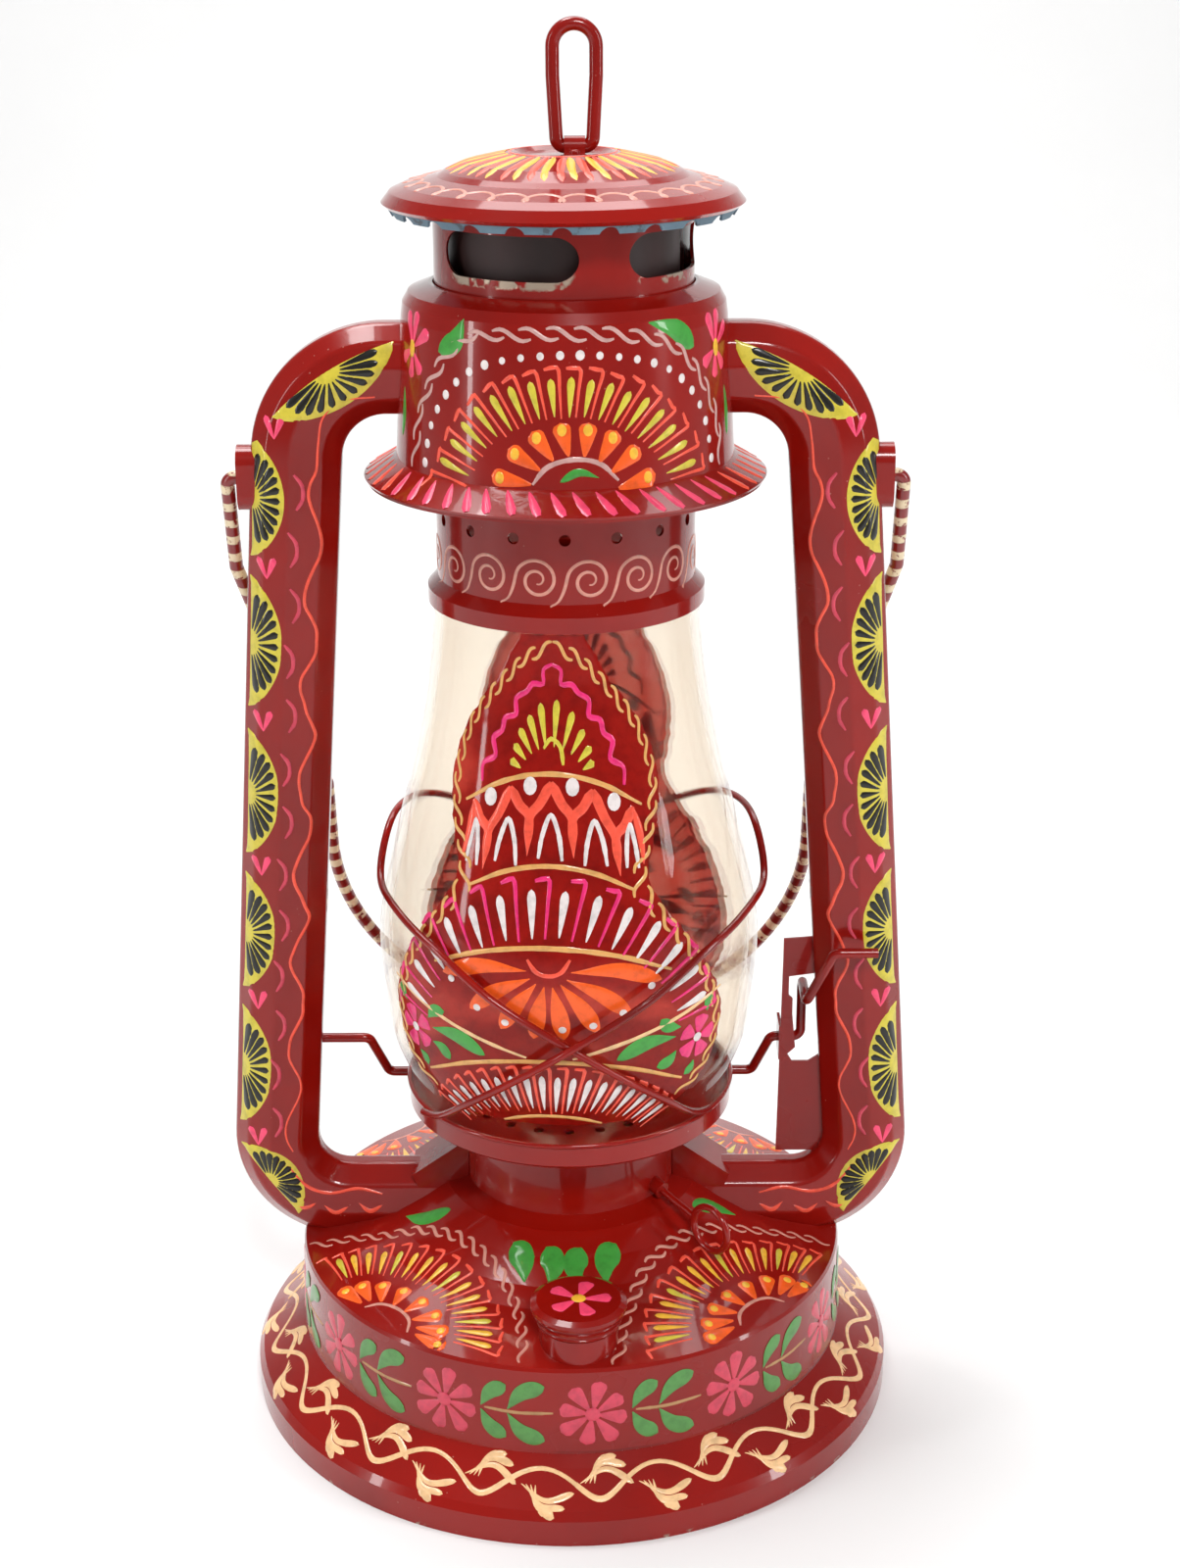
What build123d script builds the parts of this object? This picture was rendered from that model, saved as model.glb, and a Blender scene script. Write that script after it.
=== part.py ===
"""Hurricane lantern: an oil lamp with side air tubes, a lifting globe and a sprung chimney.

Millimetres, +Z up, -Y to the front. The origin is the centre of the base on the ground.
"""
from build123d import *
from math import atan2, cos, degrees, hypot, radians, sin, tan
import os

os.makedirs("parts", exist_ok=True)

# ---- sheet, wire and fits -------------------------------------------------------------
gauge = 0.7                  # sheet metal thickness
glass_wall = 2.0             # globe wall
fit_gap = 0.35               # free gap between moving skins
pivot_gap = 0.08             # radial running clearance of a wire in its eye
seat_gap = 0.4               # gap over and under the lift bar

# ---- base and fuel tank ---------------------------------------------------------------
base_radius = 80.0           # foot rim
base_rim_height = 6.5        # upright rim above the ground
foot_flange = 3.0            # width of the folded foot
skirt_height = 16.5          # ground to tank seam
tank_radius = 68.0           # tank wall at the seam
tank_edge_radius = 66.9      # tank wall at its top edge
tank_height = 22.2
dome_rise = 16.3             # tank edge to collar foot

# ---- filler ---------------------------------------------------------------------------
filler_x = 2.1
filler_reach = 56.8          # distance of the filler in front of the centre
filler_bore = 6.8            # neck bore radius
filler_neck_radius = 7.5
filler_neck_rise = 9.4       # neck above the tank edge
filler_boss_rise = 6.2       # boss above the tank edge
filler_boss_radius = 9.3
gasket_height = 1.0
cap_top_radius = 11.2
cap_foot_radius = 9.7
filler_cap_height = 5.6
thread_grooves = 2
thread_groove = 0.45

# ---- burner ---------------------------------------------------------------------------
collar_radius = 26.0
collar_height = 15.0
flare_radius = 36.5          # open top of the collar
flare_rise = 4.8
burner_seat_radius = 22.0    # burner base skirt in the tank mouth
wick_width = 12.4
wick_thick = 1.6
wick_room = 0.2              # air round the wick in its tube
wick_tube_wall = 0.6
wick_tube_top = 16.0         # wick tube above the collar's open top
wick_show = 2.6              # wick standing above its tube
cone_radius = 17.0
cone_height = 19.0

# ---- wick spindle ---------------------------------------------------------------------
spindle_turn = 42.5          # degrees from the front towards the right
spindle_droop = 12.5         # degrees below level
spindle_radius = 0.85
spindle_reach = collar_radius + 19.0   # centre of the lamp to centre of the knob ring
spindle_exit_rise = 2.6      # spindle above the collar foot where it leaves the collar
sprocket_radius = 3.5
sprocket_spread = 4.0        # each sprocket from the middle of the wick
knob_radius = 5.6
bush_radius = 2.0
bush_length = 5.0

# ---- globe plate and globe ------------------------------------------------------------
plate_radius = 39.6
plate_lip = 3.0              # rim above and below the plate floor
plate_vent_circle = 28.0
plate_vent_radius = 1.2
plate_vents = 24
globe_foot_radius = 38.3
globe_belly_radius = 45.6
globe_top_radius = 30.6
globe_height = 125.6
guard_radius = 0.9           # guard wire

# ---- lift wire and its plate ----------------------------------------------------------
lift_radius = 1.2            # lift wire
lift_pivot_y = 4.0
lift_pivot_rise = 11.6       # pivot above the lift bar
lift_bar_back = 4.5          # bar behind the pivot
lift_crank_x = 45.5
lift_pivot_x = 49.8          # crank top, where the wire turns towards its pivot
lift_arm_x = 57.2
lift_arm_height = 15.5       # pivot to the notch that the wire rests in
lift_reach = 13.0            # wire in front of its pivot after the slot
finger_y = -13.0
finger_rise = 30.0           # finger piece above the pivot
finger_x = 63.2
finger_end_x = 73.5
lever_plate_x = 52.2
lever_plate_top = 28.0       # above the pivot
slot_left = 53.7
slot_right = 61.4
slot_tooth = 1.9             # tooth that parts the two notches
slot_top = 18.0              # above the pivot
slot_bottom = -5.0

# ---- side tubes -----------------------------------------------------------------------
tube_width = 20.6            # across the lamp
tube_depth = 16.0            # front to back
tube_corner_top_x = 59.2     # centre lines of arm and tube meet here
tube_corner_foot_x = 74.5
tube_top_bend = 20.5
tube_foot_bend = 18.0
arm_below_drum_top = 19.3    # arm centre line below the drum's top
leg_above_edge = 7.2         # leg centre line above the tank edge
tube_seam_below_arm = 42.7
horn_width = 13.0            # air horn between leg and collar
horn_length = 13.5
horn_rise = 10.0
horn_slant = 4.0             # its foot stands nearer the collar than its tip

# ---- drum, crown, neck and cap --------------------------------------------------------
crown_radius = 29.5
bead_radius = 31.8
bead_height = 3.6
bead_drop = 1.5              # bead below the top of the globe
crown_vents = 16
crown_vent_radius = 1.3
crown_vent_rise = 19.0       # above the top of the globe
brim_radius = 45.5
brim_above_globe = 26.7
drum_radius = 38.1           # above the brim
drum_shoulder_radius = 36.2
drum_height = 43.9
drum_top_radius = 34.5
drum_mouth_gap = 1.4         # bead to the drum floor's opening
neck_radius = 28.7
neck_show = 17.3             # neck between drum and cap rim
neck_inside = 43.0           # neck below the drum's top
window_length = 32.0
window_height = 9.4
window_turn = -27.0          # degrees from the front
draught_radius = 25.5        # inner tube behind the windows
draught_foot = 4.0           # its foot below the drum's top
draught_over = 2.0           # its top above the windows
cap_radius = 39.8
cap_crease_radius = 26.5
cap_top_flat = 10.8
cap_height = 10.4
scallops = 24
scallop_depth = 1.6
spring_radius = 31.2
spring_wire = 0.55
spring_coils = 6

# ---- top ring and bail ----------------------------------------------------------------
ring_wire = 1.5
ring_x = 2.5
ring_foot_half = 3.9         # half width at the foot, on the wire's centre line
ring_half = 4.7
ring_height = 27.0
strap_width = 4.6
strap_reach = 5.6            # each foot from the ring wire
rivet_radius = 1.1
ear_rise = 14.6              # bail pivot below the arm's underside line
ear_height = 15.0
ear_width = 8.0
ear_proud = 3.0
bail_wire = 1.6
bail_lean = 17.6             # degrees behind upright, resting against the tubes
bail_half_top = 76.8
bail_half = 60.0
bail_straight = 24.0
bail_taper_end = 88.0
bail_bow_start = 106.0
bail_pin_depth = 4.4

# ---- heights worked out from the sizes above --------------------------------------------
edge_z = skirt_height + tank_height
collar_z = edge_z + dome_rise
collar_top_z = collar_z + collar_height
flare_z = collar_top_z + flare_rise
bar_z = flare_z + seat_gap + lift_radius
plate_z = bar_z + lift_radius + seat_gap
globe_z = plate_z + gauge + 0.2
globe_top_z = globe_z + globe_height
brim_z = globe_top_z + brim_above_globe
drum_top_z = brim_z + drum_height
cap_rim_z = drum_top_z + neck_show
cap_top_z = cap_rim_z + cap_height
arm_z = drum_top_z - arm_below_drum_top
leg_z = edge_z + leg_above_edge
seam_z = arm_z - tube_seam_below_arm
pivot_z = bar_z + lift_pivot_rise
ear_z = arm_z - tube_width / 2 - ear_rise


def sheet(points, thickness=gauge, side=Side.LEFT):
    """A strip of sheet metal on the current sketch: the line through points, one thickness wide."""
    with BuildLine() as strip:
        Polyline(*points)
        offset(amount=thickness, side=side)
    make_face(strip.edges())


def finish_part(builder, name):
    """Label a finished piece and write it to its own STEP file."""
    builder.part.label = name
    export_step(builder.part, f"parts/{name}.step")


# ---- base and tank ------------------------------------------------------------------------
dome_line = [
    (tank_edge_radius, edge_z),
    (tank_edge_radius - 9, edge_z + 0.15 * dome_rise),
    (tank_edge_radius - 17, edge_z + 0.28 * dome_rise),
    (tank_edge_radius - 23, edge_z + 0.43 * dome_rise),
    (collar_radius + 11, edge_z + 0.66 * dome_rise),
    (collar_radius + 5, edge_z + 0.9 * dome_rise),
    (collar_radius, collar_z),
]

with BuildPart() as base_skirt:
    with BuildSketch(Plane.XZ):
        sheet([
            (base_radius - foot_flange, 0),
            (base_radius, 0),
            (base_radius, base_rim_height),
            (base_radius - 1.2, base_rim_height + 2),
            (base_radius - 5, base_rim_height + 4.6),
            (tank_radius + 2.6, skirt_height - 2.1),
            (tank_radius, skirt_height),
        ])
    revolve(axis=Axis.Z)
finish_part(base_skirt, "base_skirt")

with BuildPart() as tank_bottom:
    with BuildSketch(Plane.XY.offset(skirt_height)):
        Circle(tank_radius)
    extrude(amount=gauge)
finish_part(tank_bottom, "tank_bottom")

with BuildPart() as tank_wall:
    with BuildSketch(Plane.XZ):
        sheet([(tank_radius, skirt_height + gauge), (tank_edge_radius + 0.4, edge_z - 0.9)])
    revolve(axis=Axis.Z)
    add(tank_bottom.part, mode=Mode.SUBTRACT)
finish_part(tank_wall, "tank_wall")

with BuildPart(mode=Mode.PRIVATE) as filler_post:
    with BuildSketch(Plane.XY.offset(skirt_height + gauge + 3)):
        with Locations((filler_x, -filler_reach)):
            Circle(filler_neck_radius)
    extrude(amount=dome_rise + tank_height)

with BuildPart() as tank_dome:
    with BuildSketch(Plane.XZ):
        sheet([(tank_edge_radius + 0.4, edge_z - 0.9)] + dome_line + [(burner_seat_radius, collar_z)])
    revolve(axis=Axis.Z)
    add(tank_wall.part, mode=Mode.SUBTRACT)
    add(filler_post.part, mode=Mode.SUBTRACT)
finish_part(tank_dome, "tank_dome")

with BuildPart(mode=Mode.PRIVATE) as tank_envelope:
    with BuildSketch(Plane.XZ):
        with BuildLine():
            Polyline(
                (0, skirt_height),
                (tank_radius, skirt_height),
                (tank_edge_radius + 0.4, edge_z - 0.9),
                *dome_line,
                (0, collar_z),
                close=True,
            )
        make_face()
    revolve(axis=Axis.Z)

# ---- filler neck, gasket and screw cap ------------------------------------------------------
neck_top_z = edge_z + filler_neck_rise
gasket_z = neck_top_z + 0.05
cap_under_z = gasket_z + gasket_height + 0.05
filler_cap_top_z = cap_under_z + gauge + 1.0
filler_cap_foot_z = filler_cap_top_z - filler_cap_height
filler_axis = Axis((filler_x, -filler_reach, 0), (0, 0, 1))
filler_plane = Plane(origin=(filler_x, -filler_reach, 0), x_dir=(1, 0, 0), z_dir=(0, -1, 0))

with BuildPart() as filler_neck:
    with BuildSketch(Plane.XY.offset(edge_z - 3)):
        with Locations((filler_x, -filler_reach)):
            Circle(filler_neck_radius)
            Circle(filler_bore, mode=Mode.SUBTRACT)
    extrude(amount=filler_neck_rise + 3)
finish_part(filler_neck, "filler_neck")

with BuildPart() as filler_boss:
    with BuildSketch(Plane.XY.offset(edge_z - 3)):
        with Locations((filler_x, -filler_reach)):
            Circle(filler_boss_radius)
            Circle(filler_neck_radius, mode=Mode.SUBTRACT)
    extrude(amount=filler_boss_rise + 3)
    add(tank_envelope.part, mode=Mode.SUBTRACT)
finish_part(filler_boss, "filler_boss")

with BuildPart() as filler_gasket:
    with BuildSketch(Plane.XY.offset(gasket_z)):
        with Locations((filler_x, -filler_reach)):
            Circle(filler_neck_radius)
            Circle(filler_bore - 1, mode=Mode.SUBTRACT)
    extrude(amount=gasket_height)
finish_part(filler_gasket, "filler_gasket")

with BuildPart() as filler_cap:
    with BuildSketch(filler_plane):
        with BuildLine():
            Polyline(
                (0, filler_cap_top_z),
                (cap_top_radius - 1.4, filler_cap_top_z),
                (cap_top_radius, filler_cap_top_z - 0.7),
                (cap_top_radius, filler_cap_top_z - 1.6),
                (cap_foot_radius, filler_cap_foot_z),
                (filler_neck_radius + seat_gap, filler_cap_foot_z),
                (filler_neck_radius + seat_gap, cap_under_z),
                (0, cap_under_z),
                close=True,
            )
        make_face()
    revolve(axis=filler_axis)
    groove_step = (filler_cap_height - 2.0) / thread_grooves
    for turn in range(thread_grooves):
        groove_z = filler_cap_foot_z + groove_step * (turn + 0.5)
        lean = (groove_z - filler_cap_foot_z) / filler_cap_height
        groove_radius = cap_foot_radius + lean * (cap_top_radius - cap_foot_radius)
        with BuildSketch(filler_plane):
            with Locations((groove_radius + 0.3, groove_z)):
                Circle(thread_groove + 0.1)
        revolve(axis=filler_axis, mode=Mode.SUBTRACT)
finish_part(filler_cap, "filler_cap")

# ---- wick spindle placing -------------------------------------------------------------------
spindle_angle = radians(spindle_turn)
out_dir = Vector(sin(spindle_angle), -cos(spindle_angle), 0)
side_dir = Vector(cos(spindle_angle), sin(spindle_angle), 0)
wick_heading = degrees(atan2(out_dir.Y, out_dir.X))
wick_plane = Plane(origin=(0, 0, 0), x_dir=out_dir, z_dir=(0, 0, 1))
spindle_offset = wick_thick / 2 + sprocket_radius + 0.1
spindle_centre_z = collar_z + spindle_exit_rise + collar_radius * tan(radians(spindle_droop))
spindle_dir = out_dir * cos(radians(spindle_droop)) - Vector(0, 0, sin(radians(spindle_droop)))
spindle_origin = side_dir * spindle_offset + Vector(0, 0, spindle_centre_z)
spindle_plane = Plane(origin=spindle_origin, x_dir=spindle_dir, z_dir=side_dir)
reach_along = spindle_reach / cos(radians(spindle_droop))
exit_along = collar_radius / cos(radians(spindle_droop))

with BuildPart() as wick_spindle:
    shaft_start = -sprocket_spread - 3
    shaft_end = reach_along - knob_radius
    with BuildSketch(Plane(origin=spindle_plane.from_local_coords((shaft_start, 0, 0)),
                           z_dir=spindle_dir)):
        Circle(spindle_radius)
    extrude(amount=shaft_end - shaft_start)
    with Locations(spindle_plane * Location((reach_along, 0, 0))):
        Torus(knob_radius, spindle_radius)
    for along in (-sprocket_spread, sprocket_spread):
        with BuildSketch(Plane(origin=spindle_plane.from_local_coords((along - 0.4, 0, 0)),
                               z_dir=spindle_dir)):
            RegularPolygon(sprocket_radius, 9)
        extrude(amount=0.8)
finish_part(wick_spindle, "wick_spindle")

with BuildPart(mode=Mode.PRIVATE) as bush_plug:
    with BuildSketch(Plane(origin=spindle_plane.from_local_coords((exit_along - bush_length / 2, 0, 0)),
                           z_dir=spindle_dir)):
        Circle(bush_radius)
    extrude(amount=bush_length)

with BuildPart() as spindle_bush:
    add(bush_plug.part)
    with BuildSketch(Plane(origin=spindle_plane.from_local_coords((exit_along - bush_length, 0, 0)),
                           z_dir=spindle_dir)):
        Circle(spindle_radius + pivot_gap)
    extrude(amount=2 * bush_length, mode=Mode.SUBTRACT)
    add(tank_envelope.part, mode=Mode.SUBTRACT)
finish_part(spindle_bush, "spindle_bush")

# ---- burner -----------------------------------------------------------------------------------
tube_inner_width = wick_width + 2 * wick_room
tube_inner_thick = wick_thick + 2 * wick_room
tube_outer_width = tube_inner_width + 2 * wick_tube_wall
tube_outer_thick = tube_inner_thick + 2 * wick_tube_wall
wick_tube_foot_z = collar_z - 7
wick_tube_top_z = flare_z + wick_tube_top

with BuildPart() as burner_base:
    with BuildSketch(Plane.XY.offset(collar_z + gauge)):
        Circle(collar_radius - gauge - 0.2)
    extrude(amount=gauge)
    with BuildSketch(Plane.XY.offset(collar_z - 6)):
        Circle(burner_seat_radius - 0.2)
        Circle(burner_seat_radius - 0.2 - gauge, mode=Mode.SUBTRACT)
    extrude(amount=6 + gauge)
    with BuildSketch(wick_plane.offset(collar_z - 1)):
        Rectangle(tube_outer_width, tube_outer_thick)
    extrude(amount=4, mode=Mode.SUBTRACT)
    add(bush_plug.part, mode=Mode.SUBTRACT)
finish_part(burner_base, "burner_base")

with BuildPart() as wick_tube:
    with BuildSketch(wick_plane.offset(wick_tube_foot_z)):
        Rectangle(tube_outer_width, tube_outer_thick)
        Rectangle(tube_inner_width, tube_inner_thick, mode=Mode.SUBTRACT)
    extrude(amount=wick_tube_top_z - wick_tube_foot_z)
    with BuildSketch(Plane(origin=side_dir * 0.5 + Vector(0, 0, spindle_centre_z),
                           x_dir=out_dir, z_dir=side_dir)):
        Rectangle(2 * sprocket_spread + 2.4, 2 * sprocket_radius + 2.5)
    extrude(amount=3, mode=Mode.SUBTRACT)
finish_part(wick_tube, "wick_tube")

with BuildPart() as wick:
    with BuildSketch(wick_plane.offset(skirt_height + 9)):
        Rectangle(wick_width, wick_thick)
    extrude(amount=wick_tube_top_z + wick_show - skirt_height - 9)
finish_part(wick, "wick")

horn_tip_z = leg_z + tube_width / 2 - 1.2
horn_peak_z = leg_z + tube_width / 2 + horn_rise


def horn_block(points, width):
    """A block with that side outline, as wide front to back as given."""
    with BuildPart(mode=Mode.PRIVATE) as block:
        with BuildSketch(Plane.XZ.offset(-width / 2)):
            with BuildLine():
                Polyline(*points, close=True)
            make_face()
        extrude(amount=width)
    return block.part


def horn_cut(hand):
    """The room that a horn takes in the collar's wall."""
    return horn_block([
        (hand * (collar_radius + horn_length), horn_tip_z),
        (hand * (collar_radius - 2), horn_peak_z),
        (hand * (collar_radius - 2), leg_z),
        (hand * (collar_radius + horn_length - horn_slant), leg_z),
    ], horn_width)


with BuildPart() as burner_collar:
    with BuildSketch(Plane.XZ):
        sheet([
            (collar_radius, collar_z),
            (collar_radius, collar_top_z),
            (flare_radius - 2, flare_z - gauge - 1.6),
            (flare_radius, flare_z - gauge),
        ])
    revolve(axis=Axis.Z)
    add(bush_plug.part, mode=Mode.SUBTRACT)
    add(horn_cut(1), mode=Mode.SUBTRACT)
    add(horn_cut(-1), mode=Mode.SUBTRACT)
finish_part(burner_collar, "burner_collar")

# ---- side tubes ---------------------------------------------------------------------------------
section_points = [
    (0.50, 0.14), (0.32, 0.40), (0.05, 0.50), (-0.30, 0.40), (-0.50, 0.12),
]


def tube_sweep(inset):
    """The right-hand tube's whole run as one solid, inset by one wall for its bore."""
    with BuildPart(mode=Mode.PRIVATE) as run:
        with BuildLine(Plane.XZ):
            FilletPolyline(
                (collar_radius, arm_z),
                (tube_corner_top_x, arm_z),
                (tube_corner_foot_x, leg_z),
                (collar_radius, leg_z),
                radius=(tube_top_bend, tube_foot_bend),
            )
        with BuildSketch(Plane(origin=(collar_radius, 0, arm_z), x_dir=(0, 0, 1), z_dir=(1, 0, 0))):
            upper = [(u * tube_width, v * tube_depth) for u, v in section_points]
            lower = [(u, -v) for u, v in reversed(upper)]
            with BuildLine():
                Polyline(*upper, *lower, close=True)
            make_face()
            fillet(vertices(), radius=2.2)
            if inset:
                offset(amount=-inset)
        sweep()
    return run.part


tube_outer = tube_sweep(0)
tube_bore = tube_sweep(gauge)

with BuildPart(mode=Mode.PRIVATE) as drum_inside:
    with BuildSketch(Plane.XZ):
        with BuildLine():
            Polyline(
                (0, brim_z),
                (drum_radius - gauge, brim_z),
                (drum_radius - gauge, brim_z + 5.6),
                (drum_shoulder_radius - gauge, drum_top_z - 6.9),
                (0, drum_top_z - 6.9),
                close=True,
            )
        make_face()
    revolve(axis=Axis.Z)

with BuildPart(mode=Mode.PRIVATE) as lift_hole:
    with BuildSketch(Plane.YZ.offset(-tube_corner_foot_x)):
        with Locations((lift_pivot_y, pivot_z)):
            Circle(lift_radius + pivot_gap)
    extrude(amount=tube_width)

for side_name, hand in (("right", 1), ("left", -1)):
    outer_skin = tube_outer if hand > 0 else mirror(tube_outer, about=Plane.YZ)
    bore_skin = tube_bore if hand > 0 else mirror(tube_bore, about=Plane.YZ)
    with BuildPart() as elbow:
        add(outer_skin)
        add(bore_skin, mode=Mode.SUBTRACT)
        add(drum_inside.part, mode=Mode.SUBTRACT)
        split(bisect_by=Plane.XY.offset(seam_z), keep=Keep.TOP)
    finish_part(elbow, f"elbow_{side_name}")
    with BuildPart() as tube:
        add(outer_skin)
        add(bore_skin, mode=Mode.SUBTRACT)
        add(tank_envelope.part, mode=Mode.SUBTRACT)
        split(bisect_by=Plane.XY.offset(seam_z), keep=Keep.BOTTOM)
        if hand < 0:
            add(lift_hole.part, mode=Mode.SUBTRACT)
    finish_part(tube, f"tube_{side_name}")

for side_name, hand in (("right", 1), ("left", -1)):
    outer_skin = tube_outer if hand > 0 else mirror(tube_outer, about=Plane.YZ)
    horn_skin = horn_block([
        (hand * (collar_radius + horn_length), horn_tip_z),
        (hand * (collar_radius - gauge), horn_peak_z - 1),
        (hand * (collar_radius - gauge), leg_z),
        (hand * (collar_radius + horn_length - horn_slant), leg_z),
    ], horn_width)
    horn_duct = horn_block([
        (hand * (collar_radius + horn_length - 4 * gauge), horn_tip_z),
        (hand * (collar_radius - 2), horn_peak_z - 1 - gauge),
        (hand * (collar_radius - 2), leg_z - 1),
        (hand * (collar_radius + horn_length), leg_z - 1),
    ], horn_width - 2 * gauge)
    with BuildPart() as horn:
        add(horn_skin)
        add(horn_duct, mode=Mode.SUBTRACT)
        add(outer_skin, mode=Mode.SUBTRACT)
        add(tank_envelope.part, mode=Mode.SUBTRACT)
    finish_part(horn, f"horn_{side_name}")

# ---- globe plate, burner cone and globe ----------------------------------------------------------
# The lift bar swings up and back under the plate, so the rim is cut away along its path.
lift_sweep = hypot(lift_bar_back, lift_pivot_rise)
slot_front_y = lift_pivot_y + lift_bar_back - lift_radius - 4 * seat_gap
slot_back_y = lift_pivot_y + lift_sweep + lift_radius + 2 * seat_gap

with BuildPart() as globe_plate:
    with BuildSketch(Plane.XZ):
        sheet([
            (cone_radius - 2, plate_z),
            (plate_radius - gauge / 2, plate_z),
        ], side=Side.LEFT)
    revolve(axis=Axis.Z)
    with BuildSketch(Plane.XZ):
        sheet([
            (plate_radius - 0.8, plate_z - plate_lip),
            (plate_radius, plate_z - plate_lip + 0.8),
            (plate_radius, plate_z + plate_lip),
        ])
    revolve(axis=Axis.Z)
    with Locations((0, 0, plate_z + plate_lip)):
        Torus(plate_radius, 0.6)
    with Locations((0, 0, plate_z)):
        with PolarLocations(plate_vent_circle, plate_vents):
            Cylinder(plate_vent_radius, 4 * gauge, mode=Mode.SUBTRACT)
    with Locations((0, (slot_front_y + slot_back_y) / 2, plate_z - plate_lip)):
        Box(2 * plate_radius + 4, slot_back_y - slot_front_y, 2 * plate_lip, mode=Mode.SUBTRACT)
finish_part(globe_plate, "globe_plate")

with BuildPart() as burner_cone:
    with BuildSketch(Plane.XZ):
        sheet([
            (cone_radius + 1.5, plate_z + gauge),
            (cone_radius - 1, plate_z + gauge),
            (cone_radius - 2, plate_z + 0.45 * cone_height),
            (cone_radius - 8, plate_z + 0.85 * cone_height),
            (0, plate_z + cone_height),
        ], side=Side.RIGHT)
    revolve(axis=Axis.Z)
    with BuildSketch(wick_plane.offset(plate_z + 0.5 * cone_height)):
        SlotOverall(wick_width + 4, wick_thick + 3.4)
    extrude(amount=cone_height, mode=Mode.SUBTRACT)
finish_part(burner_cone, "burner_cone")

globe_shape = [                # share of the way foot to belly, share of the height
    (0.03, 0.0), (0.05, 0.035), (0.20, 0.06), (0.58, 0.11), (0.85, 0.205), (1.0, 0.325),
]
globe_shape_above = [          # share of the way top to belly, share of the height
    (0.86, 0.447), (0.49, 0.625), (0.165, 0.81), (0.04, 0.93), (0.0, 1.0),
]


def globe_radius(z):
    """Outer radius of the glass at height z, on straight lines between the shape's points."""
    line = globe_outline(0)
    for (r0, z0), (r1, z1) in zip(line, line[1:]):
        if z <= z1:
            return r0 + (r1 - r0) * (z - z0) / (z1 - z0)
    return line[-1][0]


def globe_outline(inset):
    foot_gain = globe_belly_radius - globe_foot_radius
    top_gain = globe_belly_radius - globe_top_radius
    below = [(globe_foot_radius + s * foot_gain - inset, globe_z + t * globe_height)
             for s, t in globe_shape]
    above = [(globe_top_radius + s * top_gain - inset, globe_z + t * globe_height)
             for s, t in globe_shape_above]
    return below + above


with BuildPart() as globe:
    with BuildSketch(Plane.XZ):
        outer_line = globe_outline(0)
        inner_line = globe_outline(glass_wall)
        with BuildLine():
            outside = Spline(*outer_line)
            inside = Spline(*inner_line)
            Line(outside @ 0, inside @ 0)
            Line(outside @ 1, inside @ 1)
        make_face()
    revolve(axis=Axis.Z)
finish_part(globe, "globe")

guard_turns = [                # degrees from the front, share of the globe's height
    (57, 0.02), (45, 0.045), (32, 0.10), (18, 0.165), (4, 0.23), (-10, 0.29), (-24, 0.345),
    (-38, 0.395), (-52, 0.425), (-66, 0.445), (-80, 0.46), (-94, 0.525), (-108, 0.54),
    (-123, 0.53), (-138, 0.495), (-153, 0.44), (-167, 0.37), (-181, 0.29), (-195, 0.21),
    (-209, 0.14), (-222, 0.08), (-237, 0.02),
]
for side_name, hand in (("left", 1), ("right", -1)):
    stand_off = guard_radius + 1.2
    route = []
    for index, (turn, share) in enumerate(guard_turns):
        z = globe_z + share * globe_height
        end_drop = 0 if 0 < index < len(guard_turns) - 1 else 1.0
        lift_over = 0 if hand > 0 else 2.1 * guard_radius
        r = globe_radius(z) + stand_off + lift_over - end_drop
        angle = radians(hand * turn)
        route.append((r * sin(angle), -r * cos(angle), z))
    with BuildPart() as guard_wire:
        with BuildLine() as guard_line:
            Spline(*route)
        with BuildSketch(Plane(origin=guard_line.line @ 0, z_dir=guard_line.line % 0)):
            Circle(guard_radius)
        sweep(path=guard_line.line)
        add(globe_plate.part, mode=Mode.SUBTRACT)
    finish_part(guard_wire, f"guard_wire_{side_name}")

# ---- lift wire and lever plate --------------------------------------------------------------------
bar_y = lift_pivot_y + lift_bar_back
arm_top_z = pivot_z + lift_arm_height
with BuildPart() as lift_wire:
    with BuildLine() as lift_line:
        FilletPolyline(
            (-tube_corner_foot_x + 9, lift_pivot_y, pivot_z),
            (-lift_pivot_x, lift_pivot_y, pivot_z),
            (-lift_crank_x, bar_y, bar_z),
            (lift_crank_x, bar_y, bar_z),
            (lift_pivot_x, lift_pivot_y, pivot_z),
            (lift_arm_x, lift_pivot_y, pivot_z),
            (lift_arm_x, lift_pivot_y, arm_top_z),
            (lift_arm_x, lift_pivot_y - lift_reach, arm_top_z),
            (finger_x, finger_y, pivot_z + finger_rise),
            (finger_end_x, finger_y, pivot_z + finger_rise),
            radius=2.0,
        )
    with BuildSketch(Plane(origin=lift_line.line @ 0, z_dir=lift_line.line % 0)):
        Circle(lift_radius)
    sweep(path=lift_line.line)
finish_part(lift_wire, "lift_wire")

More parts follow.
